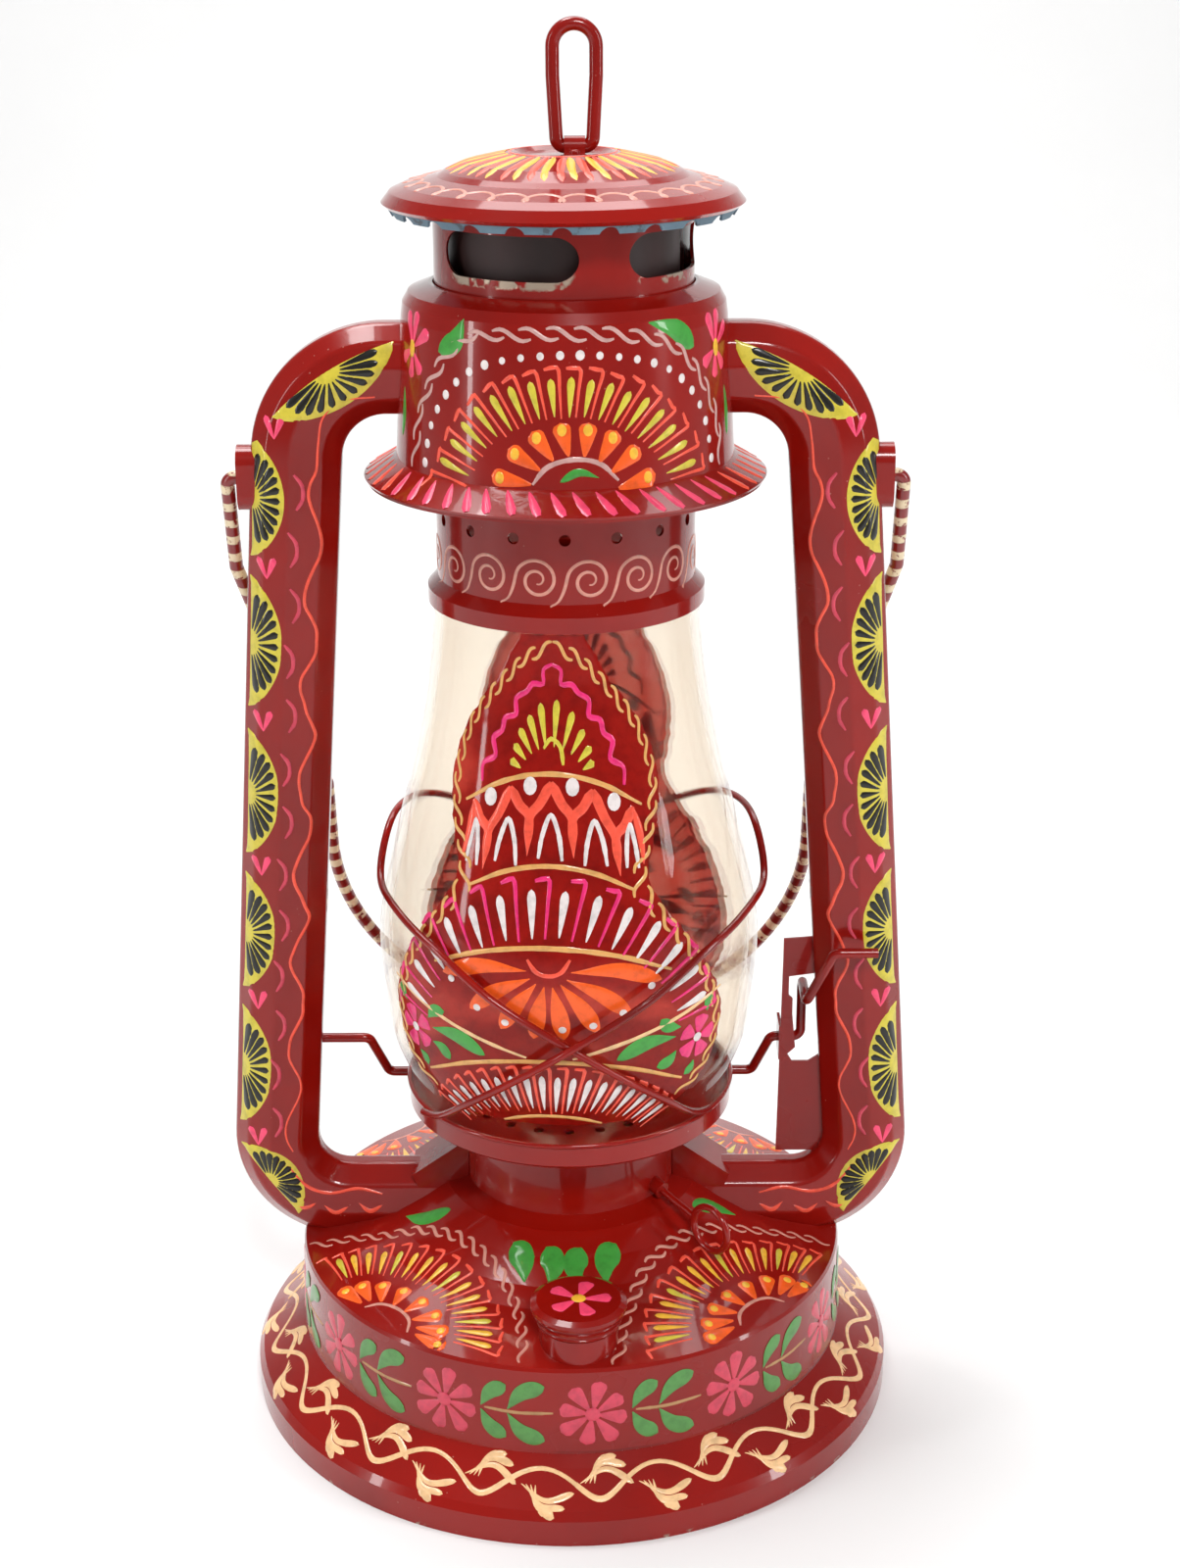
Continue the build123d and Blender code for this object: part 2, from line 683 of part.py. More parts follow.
lever_foot_z = leg_z + tube_width / 2
with BuildPart() as lever_plate:
    with BuildSketch(Plane.XZ):
        with BuildLine():
            Polyline(
                (lever_plate_x - 0.8, lever_foot_z + 2),
                (lever_plate_x, pivot_z + lever_plate_top),
                (tube_corner_foot_x - 8, pivot_z + lever_plate_top + 1),
                (tube_corner_foot_x - 4, lever_foot_z + 2),
                close=True,
            )
        make_face()
        with BuildLine():
            Polyline(
                (slot_left, pivot_z + slot_top),
                (slot_right - 0.4, pivot_z + slot_top + 1),
                (slot_right + 0.4, pivot_z + slot_bottom + 2),
                (slot_right - 2.5, pivot_z + slot_bottom),
                (slot_left + 1.2, pivot_z + slot_bottom),
                (slot_left, pivot_z + slot_bottom + 2),
                (slot_left + slot_tooth, pivot_z - 1.2),
                (slot_left + 1.0, pivot_z + 8),
                (slot_left + 1.0, pivot_z + 12),
                (slot_left, pivot_z + 13),
                close=True,
            )
        make_face(mode=Mode.SUBTRACT)
    extrude(amount=-gauge)
    with BuildSketch(Plane.YZ.offset(lever_plate_x - gauge)):
        with Locations((lift_pivot_y, pivot_z)):
            Rectangle(2 * lift_pivot_y, 9)
            Circle(lift_radius + pivot_gap, mode=Mode.SUBTRACT)
    extrude(amount=gauge)
    add(tube_outer, mode=Mode.SUBTRACT)
finish_part(lever_plate, "lever_plate")

# ---- drum -----------------------------------------------------------------------------------------
drum_opening = neck_radius + fit_gap
floor_opening = bead_radius + drum_mouth_gap
with BuildPart() as drum_shell:
    with BuildSketch(Plane.XZ):
        sheet([
            (brim_radius, brim_z + 1.8 * gauge),
            (brim_radius - 2.3, brim_z + 2.6),
            (drum_radius, brim_z + 5.6),
            (drum_shoulder_radius, drum_top_z - 6.9),
            (drum_shoulder_radius - 0.4, drum_top_z - 4),
            (drum_top_radius, drum_top_z - 1.8),
            (drum_opening + 0.8, drum_top_z),
            (drum_opening, drum_top_z),
        ])
    revolve(axis=Axis.Z)
    add(tube_outer, mode=Mode.SUBTRACT)
    add(mirror(tube_outer, about=Plane.YZ), mode=Mode.SUBTRACT)
finish_part(drum_shell, "drum_shell")

with BuildPart() as drum_floor:
    with BuildSketch(Plane.XY.offset(brim_z)):
        Circle(brim_radius - gauge)
        Circle(floor_opening, mode=Mode.SUBTRACT)
    extrude(amount=gauge)
finish_part(drum_floor, "drum_floor")

# ---- chimney: crown, neck, cap ----------------------------------------------------------------------
seat_z = brim_z + 5.0
bead_z = globe_top_z - bead_drop
ledge_z = globe_top_z + 0.3
with BuildPart() as crown:
    with BuildSketch(Plane.XZ):
        sheet([
            (bead_radius, bead_z),
            (bead_radius, bead_z + bead_height),
            (crown_radius, bead_z + bead_height + 2.4),
            (crown_radius, seat_z),
            (spring_radius + 1.6, seat_z),
        ])
    revolve(axis=Axis.Z)
    with BuildSketch(Plane.XY.offset(ledge_z)):
        Circle(bead_radius - gauge / 2)
        Circle(crown_radius - 2, mode=Mode.SUBTRACT)
    extrude(amount=gauge)
    with Locations((0, 0, globe_top_z + crown_vent_rise)):
        with PolarLocations(crown_radius, crown_vents, start_angle=-90):
            Cylinder(crown_vent_radius, 6, rotation=(0, 90, 0), mode=Mode.SUBTRACT)
finish_part(crown, "crown")

cap_line = [
    (cap_radius - 0.9, cap_rim_z - 0.8),
    (cap_radius, cap_rim_z),
    (cap_radius - 1.8, cap_rim_z + 2.3),
    (cap_radius - 4.8, cap_rim_z + 3.6),
    (cap_crease_radius + 1.2, cap_rim_z + 5.4),
    (cap_crease_radius - 0.5, cap_rim_z + 6.4),
    (cap_crease_radius - 5, cap_rim_z + 8.2),
    (cap_top_flat + 4, cap_rim_z + 9.7),
    (cap_top_flat, cap_top_z),
    (cap_top_flat - 1.4, cap_top_z - 0.8),
    (0, cap_top_z - 0.8),
]


def cap_height(radius):
    """Height of the cap's upper skin at that radius."""
    for (outer_r, outer_z), (inner_r, inner_z) in zip(cap_line[1:], cap_line[2:]):
        if inner_r <= radius <= outer_r:
            return outer_z + (inner_z - outer_z) * (outer_r - radius) / (outer_r - inner_r)
    return cap_rim_z


with BuildPart() as cap:
    with BuildSketch(Plane.XZ):
        sheet(cap_line)
    revolve(axis=Axis.Z)
finish_part(cap, "cap")

neck_foot_z = drum_top_z - neck_inside
with BuildPart() as chimney_neck:
    with BuildSketch(Plane.XY.offset(neck_foot_z)):
        Circle(neck_radius)
        Circle(neck_radius - gauge, mode=Mode.SUBTRACT)
    extrude(amount=cap_height(neck_radius) - gauge / 2 - neck_foot_z)
    add(cap.part, mode=Mode.SUBTRACT)
    window_z = drum_top_z + 3.6 + window_height / 2
    for quarter in range(4):
        heading = radians(window_turn + 90 * quarter)
        window_dir = Vector(sin(heading), -cos(heading), 0)
        with BuildSketch(Plane(origin=window_dir * (neck_radius - 20) + Vector(0, 0, window_z),
                               x_dir=(cos(heading), sin(heading), 0), z_dir=window_dir)):
            SlotOverall(window_length, window_height)
        extrude(amount=24, mode=Mode.SUBTRACT)
finish_part(chimney_neck, "chimney_neck")

with BuildPart() as draught_tube:
    with BuildSketch(Plane.XZ):
        sheet([
            (neck_radius - gauge, drum_top_z - draught_foot),
            (neck_radius - gauge, drum_top_z - draught_foot / 2),
            (draught_radius, drum_top_z + draught_foot / 2),
            (draught_radius, window_z + window_height / 2 + draught_over),
        ])
    revolve(axis=Axis.Z)
finish_part(draught_tube, "draught_tube")

underplate_z = cap_rim_z
with BuildPart() as cap_underplate:
    with BuildSketch(Plane.XZ):
        sheet([
            (cap_radius - 2.2, underplate_z - scallop_depth - 1.0),
            (cap_radius - 1.2, underplate_z - 0.9),
            (neck_radius + 0.1, underplate_z),
        ], thickness=gauge * 0.8, side=Side.LEFT)
    revolve(axis=Axis.Z)
    with Locations((0, 0, underplate_z - scallop_depth - 1.6)):
        with PolarLocations(cap_radius - 2, scallops):
            Cylinder(scallop_depth + 0.6, 6, rotation=(0, 90, 0), mode=Mode.SUBTRACT)
    with BuildSketch(Plane.XY.offset(neck_foot_z)):
        Circle(neck_radius)
        Circle(neck_radius - gauge, mode=Mode.SUBTRACT)
    extrude(amount=cap_rim_z - neck_foot_z, mode=Mode.SUBTRACT)
finish_part(cap_underplate, "cap_underplate")

with BuildPart() as chimney_spring:
    spring_foot_z = seat_z + gauge + spring_wire + 0.1
    spring_height = drum_top_z - 3.2 - gauge - spring_foot_z
    with BuildLine(Plane.XY.offset(spring_foot_z)) as spring_line:
        Helix(pitch=spring_height / spring_coils, height=spring_height, radius=spring_radius)
    with BuildSketch(Plane(origin=spring_line.line @ 0, z_dir=spring_line.line % 0)):
        Circle(spring_wire)
    sweep(path=spring_line.line)
finish_part(chimney_spring, "chimney_spring")

# ---- ring, strap and rivets ---------------------------------------------------------------------------
ring_seat_z = cap_top_z - 0.8
ring_z = ring_seat_z + ring_wire + 0.1
with BuildPart() as top_ring:
    ring_arc_z = ring_z + ring_height - ring_half - ring_wire
    with BuildLine(Plane.XZ) as ring_line:
        leg = FilletPolyline(
            (ring_x, ring_z),
            (ring_x + ring_foot_half, ring_z),
            (ring_x + ring_half, ring_z + 0.55 * ring_height),
            (ring_x + ring_half, ring_arc_z),
            radius=2.0,
        )
        TangentArc(leg @ 1, (ring_x, ring_arc_z + ring_half), tangent=leg % 1)
    with BuildSketch(Plane(origin=(ring_x, 0, ring_z), z_dir=(1, 0, 0))):
        Circle(ring_wire)
    sweep(path=ring_line.wire())
    mirror(about=Plane.YZ.offset(ring_x))
finish_part(top_ring, "top_ring")

with BuildPart() as ring_strap:
    arch = ring_wire + pivot_gap
    with BuildSketch(Plane.YZ.offset(ring_x - strap_width / 2)):
        with Locations((0, ring_z)):
            Circle(arch + gauge)
        with Locations((0, ring_seat_z)):
            Rectangle(2 * (arch + gauge), ring_z - ring_seat_z, align=(Align.CENTER, Align.MIN))
            Rectangle(2 * strap_reach + 4, gauge, align=(Align.CENTER, Align.MIN))
        with Locations((0, ring_z)):
            Circle(arch, mode=Mode.SUBTRACT)
        with Locations((0, ring_seat_z - 1)):
            Rectangle(2 * arch, ring_z - ring_seat_z + 1, align=(Align.CENTER, Align.MIN),
                      mode=Mode.SUBTRACT)
    extrude(amount=strap_width)
finish_part(ring_strap, "ring_strap")

with BuildPart() as strap_rivets:
    with Locations((ring_x, -strap_reach, ring_seat_z + gauge), (ring_x, strap_reach, ring_seat_z + gauge)):
        Cylinder(rivet_radius, 0.8, align=(Align.CENTER, Align.CENTER, Align.MIN))
    fillet(strap_rivets.faces().group_by(Axis.Z)[-1].edges(), radius=0.5)
finish_part(strap_rivets, "strap_rivets")

# ---- bail and its ears ----------------------------------------------------------------------------------
lean = radians(bail_lean)
bail_plane = Plane(origin=(0, 0, ear_z), x_dir=(1, 0, 0), z_dir=(0, cos(lean), sin(lean)))
pin_x = bail_half_top - bail_pin_depth
with BuildPart() as bail:
    with BuildLine(bail_plane) as bail_line:
        right_leg = FilletPolyline(
            (pin_x, 0),
            (bail_half_top, 0),
            (bail_half_top, bail_straight),
            (bail_half, bail_taper_end),
            (bail_half, bail_bow_start),
            radius=2.2,
        )
        ThreePointArc(
            (bail_half, bail_bow_start),
            (0, bail_bow_start + bail_half),
            (-bail_half, bail_bow_start),
        )
        FilletPolyline(
            (-bail_half, bail_bow_start),
            (-bail_half, bail_taper_end),
            (-bail_half_top, bail_straight),
            (-bail_half_top, 0),
            (-pin_x, 0),
            radius=2.2,
        )
    with BuildSketch(Plane(origin=(pin_x, 0, ear_z), z_dir=(1, 0, 0))):
        Circle(bail_wire)
    sweep(path=bail_line.wire())
finish_part(bail, "bail")

for side_name, hand in (("right", 1), ("left", -1)):
    outer_skin = tube_outer if hand > 0 else mirror(tube_outer, about=Plane.YZ)
    ear_start = hand * (bail_half_top - bail_wire - 1.0 - ear_proud - 4)
    with BuildPart() as ear:
        with BuildSketch(Plane.YZ.offset(ear_start)):
            with Locations((0, ear_z)):
                SlotOverall(ear_height, ear_width, rotation=90)
                Circle(bail_wire + pivot_gap, mode=Mode.SUBTRACT)
        extrude(amount=hand * (ear_proud + 4))
        add(outer_skin, mode=Mode.SUBTRACT)
    finish_part(ear, f"bail_ear_{side_name}")
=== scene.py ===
# %% [markdown]
# # A hand-painted hurricane lamp
# The metal pieces, the globe and the wires come ready made and in place as the frame: every one is a
# named node that rides on a moving body. This lesson gives each of them its finish, and then paints
# the folk flowers, fans and vines that make the lamp what it is. The enamel is real geometry, a thin
# raised ribbon for each brush stroke, because thick paint on lacquer catches the light along its edges.

# %% The frame
import math

import bpy
from mathutils import Matrix, Vector, noise
from mathutils.bvhtree import BVHTree


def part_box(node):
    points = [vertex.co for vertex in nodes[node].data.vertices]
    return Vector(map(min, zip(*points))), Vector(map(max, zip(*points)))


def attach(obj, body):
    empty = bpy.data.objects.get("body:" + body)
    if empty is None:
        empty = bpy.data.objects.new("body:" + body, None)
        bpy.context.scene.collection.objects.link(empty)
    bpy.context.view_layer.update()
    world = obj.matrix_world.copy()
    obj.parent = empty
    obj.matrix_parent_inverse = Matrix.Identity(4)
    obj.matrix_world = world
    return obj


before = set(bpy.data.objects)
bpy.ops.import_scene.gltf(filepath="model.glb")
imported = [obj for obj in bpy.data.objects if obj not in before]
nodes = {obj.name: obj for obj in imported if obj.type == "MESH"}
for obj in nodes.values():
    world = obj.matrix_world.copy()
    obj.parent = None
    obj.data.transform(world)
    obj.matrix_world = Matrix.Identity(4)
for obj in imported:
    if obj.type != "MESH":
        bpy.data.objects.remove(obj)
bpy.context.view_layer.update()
MM = 0.001

# %% [markdown]
# ## Floor, light and camera
# The lamp stands on a pale studio sweep. A glossy lacquer shows its lights as much as its colour, so
# the lights are soft boxes: one tall box each side draws the long highlights down the tubes, a broad
# one above and in front fills the painted faces, and a faint world light keeps the shadows open.
# The camera stands in front and above, looking about twenty degrees down on the lamp.

# %% Floor and backdrop
def studio_floor():
    half_width, front, back, rise, bend = 5.0, -5.0, 1.8, 2.6, 0.6
    profile = [(front, 0.0), (back - bend, 0.0)]
    profile += [(back - bend + bend * math.sin(a), bend - bend * math.cos(a))
                for a in [math.radians(d) for d in range(10, 91, 10)]]
    profile.append((back, rise))
    verts = [(x, y, z) for y, z in profile for x in (-half_width, half_width)]
    faces = [(2 * i, 2 * i + 1, 2 * i + 3, 2 * i + 2) for i in range(len(profile) - 1)]
    mesh = bpy.data.meshes.new("studio_floor")
    mesh.from_pydata(verts, [], faces)
    for face in mesh.polygons:
        face.use_smooth = True
    floor = bpy.data.objects.new("studio_floor", mesh)
    bpy.context.scene.collection.objects.link(floor)
    return floor


floor = studio_floor()


# %% Lights and camera
def soft_box(name, place, aim, width, height, power, warmth=(1.0, 1.0, 1.0)):
    light = bpy.data.lights.new(name, "AREA")
    light.shape = "RECTANGLE"
    light.size, light.size_y = width, height
    light.energy = power
    light.color = warmth
    box = bpy.data.objects.new(name, light)
    box.location = place
    box.rotation_mode = "QUATERNION"
    box.rotation_quaternion = (Vector(aim) - Vector(place)).to_track_quat("-Z", "Y")
    bpy.context.scene.collection.objects.link(box)
    return box


middle = (0, 0, 0.16)
soft_box("front_fill", (0.25, -1.25, 1.35), middle, 0.42, 0.3, 15)
soft_box("left_strip", (-1.25, -0.55, 0.5), middle, 0.10, 0.9, 4.5)
soft_box("right_strip", (1.25, -0.45, 0.6), middle, 0.12, 0.9, 6)
soft_box("top_box", (-0.35, 0.15, 1.45), middle, 0.5, 0.4, 10)
soft_box("floor_wash", (0, 1.0, 1.9), (0, 0.9, 0), 1.6, 0.9, 22)

world = bpy.data.worlds.new("studio_air")
world.use_nodes = True
world.node_tree.nodes["Background"].inputs["Color"].default_value = (1.0, 0.985, 0.965, 1)
world.node_tree.nodes["Background"].inputs["Strength"].default_value = 0.24
bpy.context.scene.world = world
bpy.context.scene.view_settings.view_transform = "Standard"

look_down = math.radians(20.369)
camera_roll = math.radians(-0.246)
lens = bpy.data.cameras.new("camera")
lens.lens = 56.62
lens.sensor_width = 36
camera = bpy.data.objects.new("camera", lens)
turned = Matrix.Rotation(math.pi / 2 - look_down, 4, "X") @ Matrix.Rotation(camera_roll, 4, "Z")
camera.matrix_world = Matrix.Translation((0.005228, -0.54837, 0.35997)) @ turned
bpy.context.scene.collection.objects.link(camera)
bpy.context.scene.camera = camera

# %% [markdown]
# ## Writing a shader as sums
# A finish is easier to read as arithmetic than as a page of node links. The class below wraps one
# socket: adding or multiplying two of them adds a Math node, and `node` adds any other node with its
# settings and its inputs. Colours go through Mix nodes, because a Math node would turn them grey.

# %% A socket that does arithmetic
class Flow:
    def __init__(self, tree, socket):
        self.tree, self.socket = tree, socket

    def _math(self, operation, *values, clamp=False):
        made = self.tree.nodes.new("ShaderNodeMath")
        made.operation = operation
        made.use_clamp = clamp
        for place, value in enumerate(values):
            if isinstance(value, Flow):
                self.tree.links.new(value.socket, made.inputs[place])
            else:
                made.inputs[place].default_value = value
        return Flow(self.tree, made.outputs[0])

    def __add__(self, other):
        return self._math("ADD", self, other)

    def __sub__(self, other):
        return self._math("SUBTRACT", self, other)

    def __mul__(self, other):
        return self._math("MULTIPLY", self, other)

    def __truediv__(self, other):
        return self._math("DIVIDE", self, other)

    def __rsub__(self, other):
        return self._math("SUBTRACT", other, self)

    __radd__ = __add__
    __rmul__ = __mul__

    def power(self, amount):
        return self._math("POWER", self, amount)

    def wave(self, operation):
        return self._math(operation, self)

    def rise(self, low, high):
        """0 below low, 1 above high, smooth between; falls instead if low is the larger."""
        made = self.tree.nodes.new("ShaderNodeMapRange")
        made.interpolation_type = "SMOOTHSTEP"
        turned_round = low > high
        self.tree.links.new(self.socket, made.inputs["Value"])
        made.inputs["From Min"].default_value = min(low, high)
        made.inputs["From Max"].default_value = max(low, high)
        made.inputs["To Min"].default_value = 1.0 if turned_round else 0.0
        made.inputs["To Max"].default_value = 0.0 if turned_round else 1.0
        return Flow(self.tree, made.outputs["Result"])


# %% A finish: a material being written
class Finish:
    def __init__(self, name):
        self.material = bpy.data.materials.new(name)
        self.material.use_nodes = True
        self.tree = self.material.node_tree
        self.shader = self.tree.nodes["Principled BSDF"]
        self.place = self.node("ShaderNodeTexCoord", out="Object")

    def node(self, kind, settings=None, out=0, **sockets):
        made = self.tree.nodes.new(kind)
        for name, value in (settings or {}).items():
            if name == "stops":
                ramp = made.color_ramp
                while len(ramp.elements) < len(value):
                    ramp.elements.new(0.5)
                for element, (position, colour) in zip(ramp.elements, value):
                    element.position = position
                    element.color = (*colour, 1)
            else:
                setattr(made, name, value)
        for name, value in sockets.items():
            socket = made.inputs[name.replace("_", " ")]
            if isinstance(value, Flow):
                self.tree.links.new(value.socket, socket)
            else:
                socket.default_value = (*value, 1) if hasattr(value, "__len__") and len(value) == 3 \
                    and socket.type == "RGBA" else value
        return Flow(self.tree, made.outputs[out])

    def grain(self, scale, detail=3.0, stretch=(1, 1, 1), rough=0.55, shift=(0, 0, 0)):
        """Cloudy noise between 0 and 1; scale is in waves to a metre."""
        moved = self.node("ShaderNodeMapping", Vector=self.place, Scale=stretch, Location=shift)
        return self.node("ShaderNodeTexNoise", Vector=moved, Scale=scale, Detail=detail, Roughness=rough)

    def cells(self, scale, out="Distance"):
        return self.node("ShaderNodeTexVoronoi", out=out, Vector=self.place, Scale=scale)

    def blend(self, share, low, high, how="MIX"):
        """Colour low where share is 0 and colour high where it is 1."""
        made = self.tree.nodes.new("ShaderNodeMix")
        made.data_type = "RGBA"
        made.blend_type = how
        for place, value in ((0, share), (6, low), (7, high)):
            if isinstance(value, Flow):
                self.tree.links.new(value.socket, made.inputs[place])
            else:
                made.inputs[place].default_value = (*value, 1) if place else value
        return Flow(self.tree, made.outputs[2])

    def axes(self):
        split = self.tree.nodes.new("ShaderNodeSeparateXYZ")
        self.tree.links.new(self.place.socket, split.inputs[0])
        return [Flow(self.tree, split.outputs[i]) for i in range(3)]

    def bump(self, height, depth, strength=1.0):
        """Relief of that depth in metres."""
        self.set(Normal=self.node("ShaderNodeBump", Height=height, Distance=depth, Strength=strength))

    def set(self, **sockets):
        for name, value in sockets.items():
            socket = self.shader.inputs[name.replace("_", " ")]
            if isinstance(value, Flow):
                self.tree.links.new(value.socket, socket)
            else:
                socket.default_value = (*value, 1) if hasattr(value, "__len__") and len(value) == 3 \
                    and socket.type == "RGBA" else value
        return self.material


def paint_colour(red, green, blue):
    """A colour given as on a paint card, 0 to 255, as light."""
    return tuple(((c / 255 + 0.055) / 1.055) ** 2.4 if c > 10 else c / 255 / 12.92
                 for c in (red, green, blue))


# %% [markdown]
# ## Red lacquer
# The whole body is dipped and sprayed in one deep red gloss lacquer. It is darker in cloudy patches,
# shows vertical runs where it drained, carries specks of dust, and rubs pale on its edges. A clear
# coat over a slightly rougher base gives the sharp highlight with a soft glow under it. The mask of
# each piece's own wear is passed in, so one recipe serves every red piece.

# %% Red lacquer
RED = paint_colour(146, 17, 8)
RED_DARK = paint_colour(92, 8, 6)
# A greyer red: dust, and where it is laid strongly, a painted sheen of reflected surroundings.
RED_DUST_SHEEN = paint_colour(120, 26, 26)
BARE = paint_colour(178, 160, 142)


def red_lacquer(name, dust_and_sheen=0.25, deep=0.35, wear=None):
    lacquer = Finish(name)
    clouds = lacquer.grain(26, detail=4)
    runs = lacquer.grain(150, detail=2, stretch=(1, 1, 0.09), shift=(0.3, 0.1, 0))
    colour = lacquer.blend(clouds.rise(0.35, 0.7) * deep, RED, RED_DARK)
    # The greyer red in cloudy patches is dust, and in the stronger mix given to the tank wall also a painted
    # sheen that stands for the surroundings reflected in it.
    dust_sheen_haze = lacquer.grain(11, detail=5, rough=0.65, shift=(0.7, 0.2, 0.4)).rise(0.42, 0.78)
    colour = lacquer.blend(dust_sheen_haze * dust_and_sheen, colour, RED_DUST_SHEEN)
    specks = lacquer.cells(420).rise(0.11, 0.04)
    speck_field = lacquer.grain(60, detail=2, shift=(0.2, 0.9, 0.1)).rise(0.58, 0.66)
    dust = specks * speck_field
    colour = lacquer.blend(dust * 0.55, colour, paint_colour(190, 120, 105))
    roughness = 0.16 + clouds * 0.12 + dust_sheen_haze * (0.25 * dust_and_sheen) + dust * 0.25
    height = runs * 0.6 + lacquer.grain(700, detail=1) * 0.12 + dust * 0.9
    if wear is not None:
        bare = wear(lacquer)
        colour = lacquer.blend(bare, colour, BARE)
        roughness = roughness + bare * 0.22
        height = height - bare * 2.0
        lacquer.set(Metallic=bare * 0.75)
    lacquer.set(Base_Color=colour, Roughness=roughness, Coat_Weight=0.7, Coat_Roughness=0.04,
                Coat_IOR=1.36, Specular_IOR_Level=0.22)
    lacquer.bump(height, 0.00007)
    return lacquer.material


# %% [markdown]
# Three places show bare metal: the lower edges of the chimney's windows, where the press tore the
# sheet after it was painted, the sharp tips of the air horns, and the folded foot that scrapes on
# tables. Each wear mask is worked out from the piece's own coordinates, broken up with noise.

# %% Wear masks
neck_low, neck_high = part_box("chimney_neck")
drum_low, drum_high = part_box("drum_shell")
window_z = (drum_high.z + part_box("cap_underplate")[0].z) / 2 - 0.0002
neck_radius = (neck_high.x - neck_low.x) / 2


def window_edges(lacquer):
    x, y, z = lacquer.axes()
    heading = x._math("ARCTAN2", x, y * -1.0)
    quarter = math.pi / 2
    offset = math.radians(-27.0)
    folded = (heading - offset + quarter * 4.5)._math("MODULO", heading - offset + quarter * 4.5, quarter)
    along = (folded - quarter / 2) * neck_radius
    beyond = along._math("MAXIMUM", along.wave("ABSOLUTE") - 0.0113, 0.0)
    drop = z - window_z
    distance = (beyond * beyond + drop * drop).wave("SQRT")
    ragged = lacquer.grain(900, detail=2) * 0.0009
    near_edge = (distance + ragged).rise(0.0060, 0.0053)
    lower = drop.rise(-0.001, -0.0035)
    return near_edge * lower * lacquer.grain(260, detail=2).rise(0.46, 0.56)


def horn_tips(lacquer):
    x, y, z = lacquer.axes()
    reach = x.wave("ABSOLUTE")
    edge = y.wave("ABSOLUTE").rise(0.0057, 0.0064)
    top = z.rise(0.0665, 0.0685)
    ragged = lacquer.grain(500, detail=3).rise(0.5, 0.6)
    return edge * top * ragged


def foot_scrapes(lacquer):
    x, y, z = lacquer.axes()
    low = z.rise(0.0012, 0.0002)
    return low * lacquer.grain(240, detail=3).rise(0.6, 0.72)


# %% [markdown]
# ## Glass, bare metal and the small materials
# The globe is blown glass with faint vertical draw marks and a breath of soot near its top. The
# burner parts are plain tinned steel, the wick is woven cotton with a charred tip, the gasket is
# cork, and the scalloped plate under the cap has its own chalky grey-blue paint.

# %% Globe glass
def globe_glass():
    glass = Finish("globe_glass")
    marks = glass.grain(240, detail=2, stretch=(1, 1, 0.04))
    dust = glass.grain(30, detail=4).rise(0.5, 0.8)
    x, y, z = glass.axes()
    soot = z.rise(0.175, 0.204) * glass.grain(18, detail=3).rise(0.3, 0.7)
    tint = glass.blend(soot * 0.5, paint_colour(226, 203, 168), paint_colour(190, 160, 124))
    edge = glass.node("ShaderNodeLayerWeight", out="Facing", Blend=0.3)
    cover = 0.3 + edge.power(3.0) * 0.45 + dust * 0.04
    glass.set(Base_Color=tint, Roughness=0.02 + dust * 0.05, Alpha=cover, Transmission_Weight=1.0,
              IOR=1.02, Coat_Weight=1.0, Coat_Roughness=0.01, Coat_IOR=1.5)
    glass.bump(marks, 0.00004)
    return glass.material


# %% Metals, cotton, cork and chalk paint
def tinned_steel(name, tone, streak):
    steel = Finish(name)
    brushed = steel.grain(500, detail=3, stretch=streak)
    heat = steel.grain(45, detail=4).rise(0.4, 0.75)
    colour = steel.blend(brushed * 0.6, tone, tuple(c * 0.62 for c in tone))
    colour = steel.blend(heat * 0.45, colour, paint_colour(120, 96, 70))
    steel.set(Base_Color=colour, Metallic=1.0, Roughness=0.27 + brushed * 0.2 + heat * 0.15)
    steel.bump(brushed, 0.00003)
    return steel.material


def wick_cotton():
    cotton = Finish("wick_cotton")
    weave = cotton.node("ShaderNodeTexWave", {"wave_type": "BANDS", "bands_direction": "DIAGONAL"},
                        out="Fac", Vector=cotton.place, Scale=900.0, Distortion=1.5)
    x, y, z = cotton.axes()
    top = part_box("wick")[1].z
    char = (z + cotton.grain(500) * 0.001).rise(top - 0.002, top - 0.0005)
    colour = cotton.blend(weave * 0.5, paint_colour(232, 224, 200), paint_colour(188, 174, 140))
    cotton.set(Base_Color=cotton.blend(char, colour, paint_colour(26, 20, 17)), Roughness=0.95,
               Sheen_Weight=0.3)
    cotton.bump(weave, 0.0002)
    return cotton.material


def cork_gasket():
    cork = Finish("cork_gasket")
    crumbs = cork.cells(900)
    fleck = cork.grain(500).rise(0.55, 0.65)
    colour = cork.blend(crumbs, paint_colour(176, 128, 82), paint_colour(120, 80, 46))
    cork.set(Base_Color=cork.blend(fleck * 0.7, colour, paint_colour(70, 42, 24)), Roughness=0.85)
    cork.bump(crumbs, 0.0002)
    return cork.material


def chalk_paint():
    chalk = Finish("grey_paint")
    patch = chalk.grain(140, detail=4)
    worn = chalk.grain(420, detail=3, shift=(0.4, 0.1, 0)).rise(0.56, 0.64)
    colour = chalk.blend(patch, paint_colour(62, 84, 100), paint_colour(112, 140, 156))
    chalk.set(Base_Color=chalk.blend(worn * 0.6, colour, paint_colour(52, 40, 40)),
              Roughness=0.5 + patch * 0.25)
    chalk.bump(patch, 0.0001)
    return chalk.material


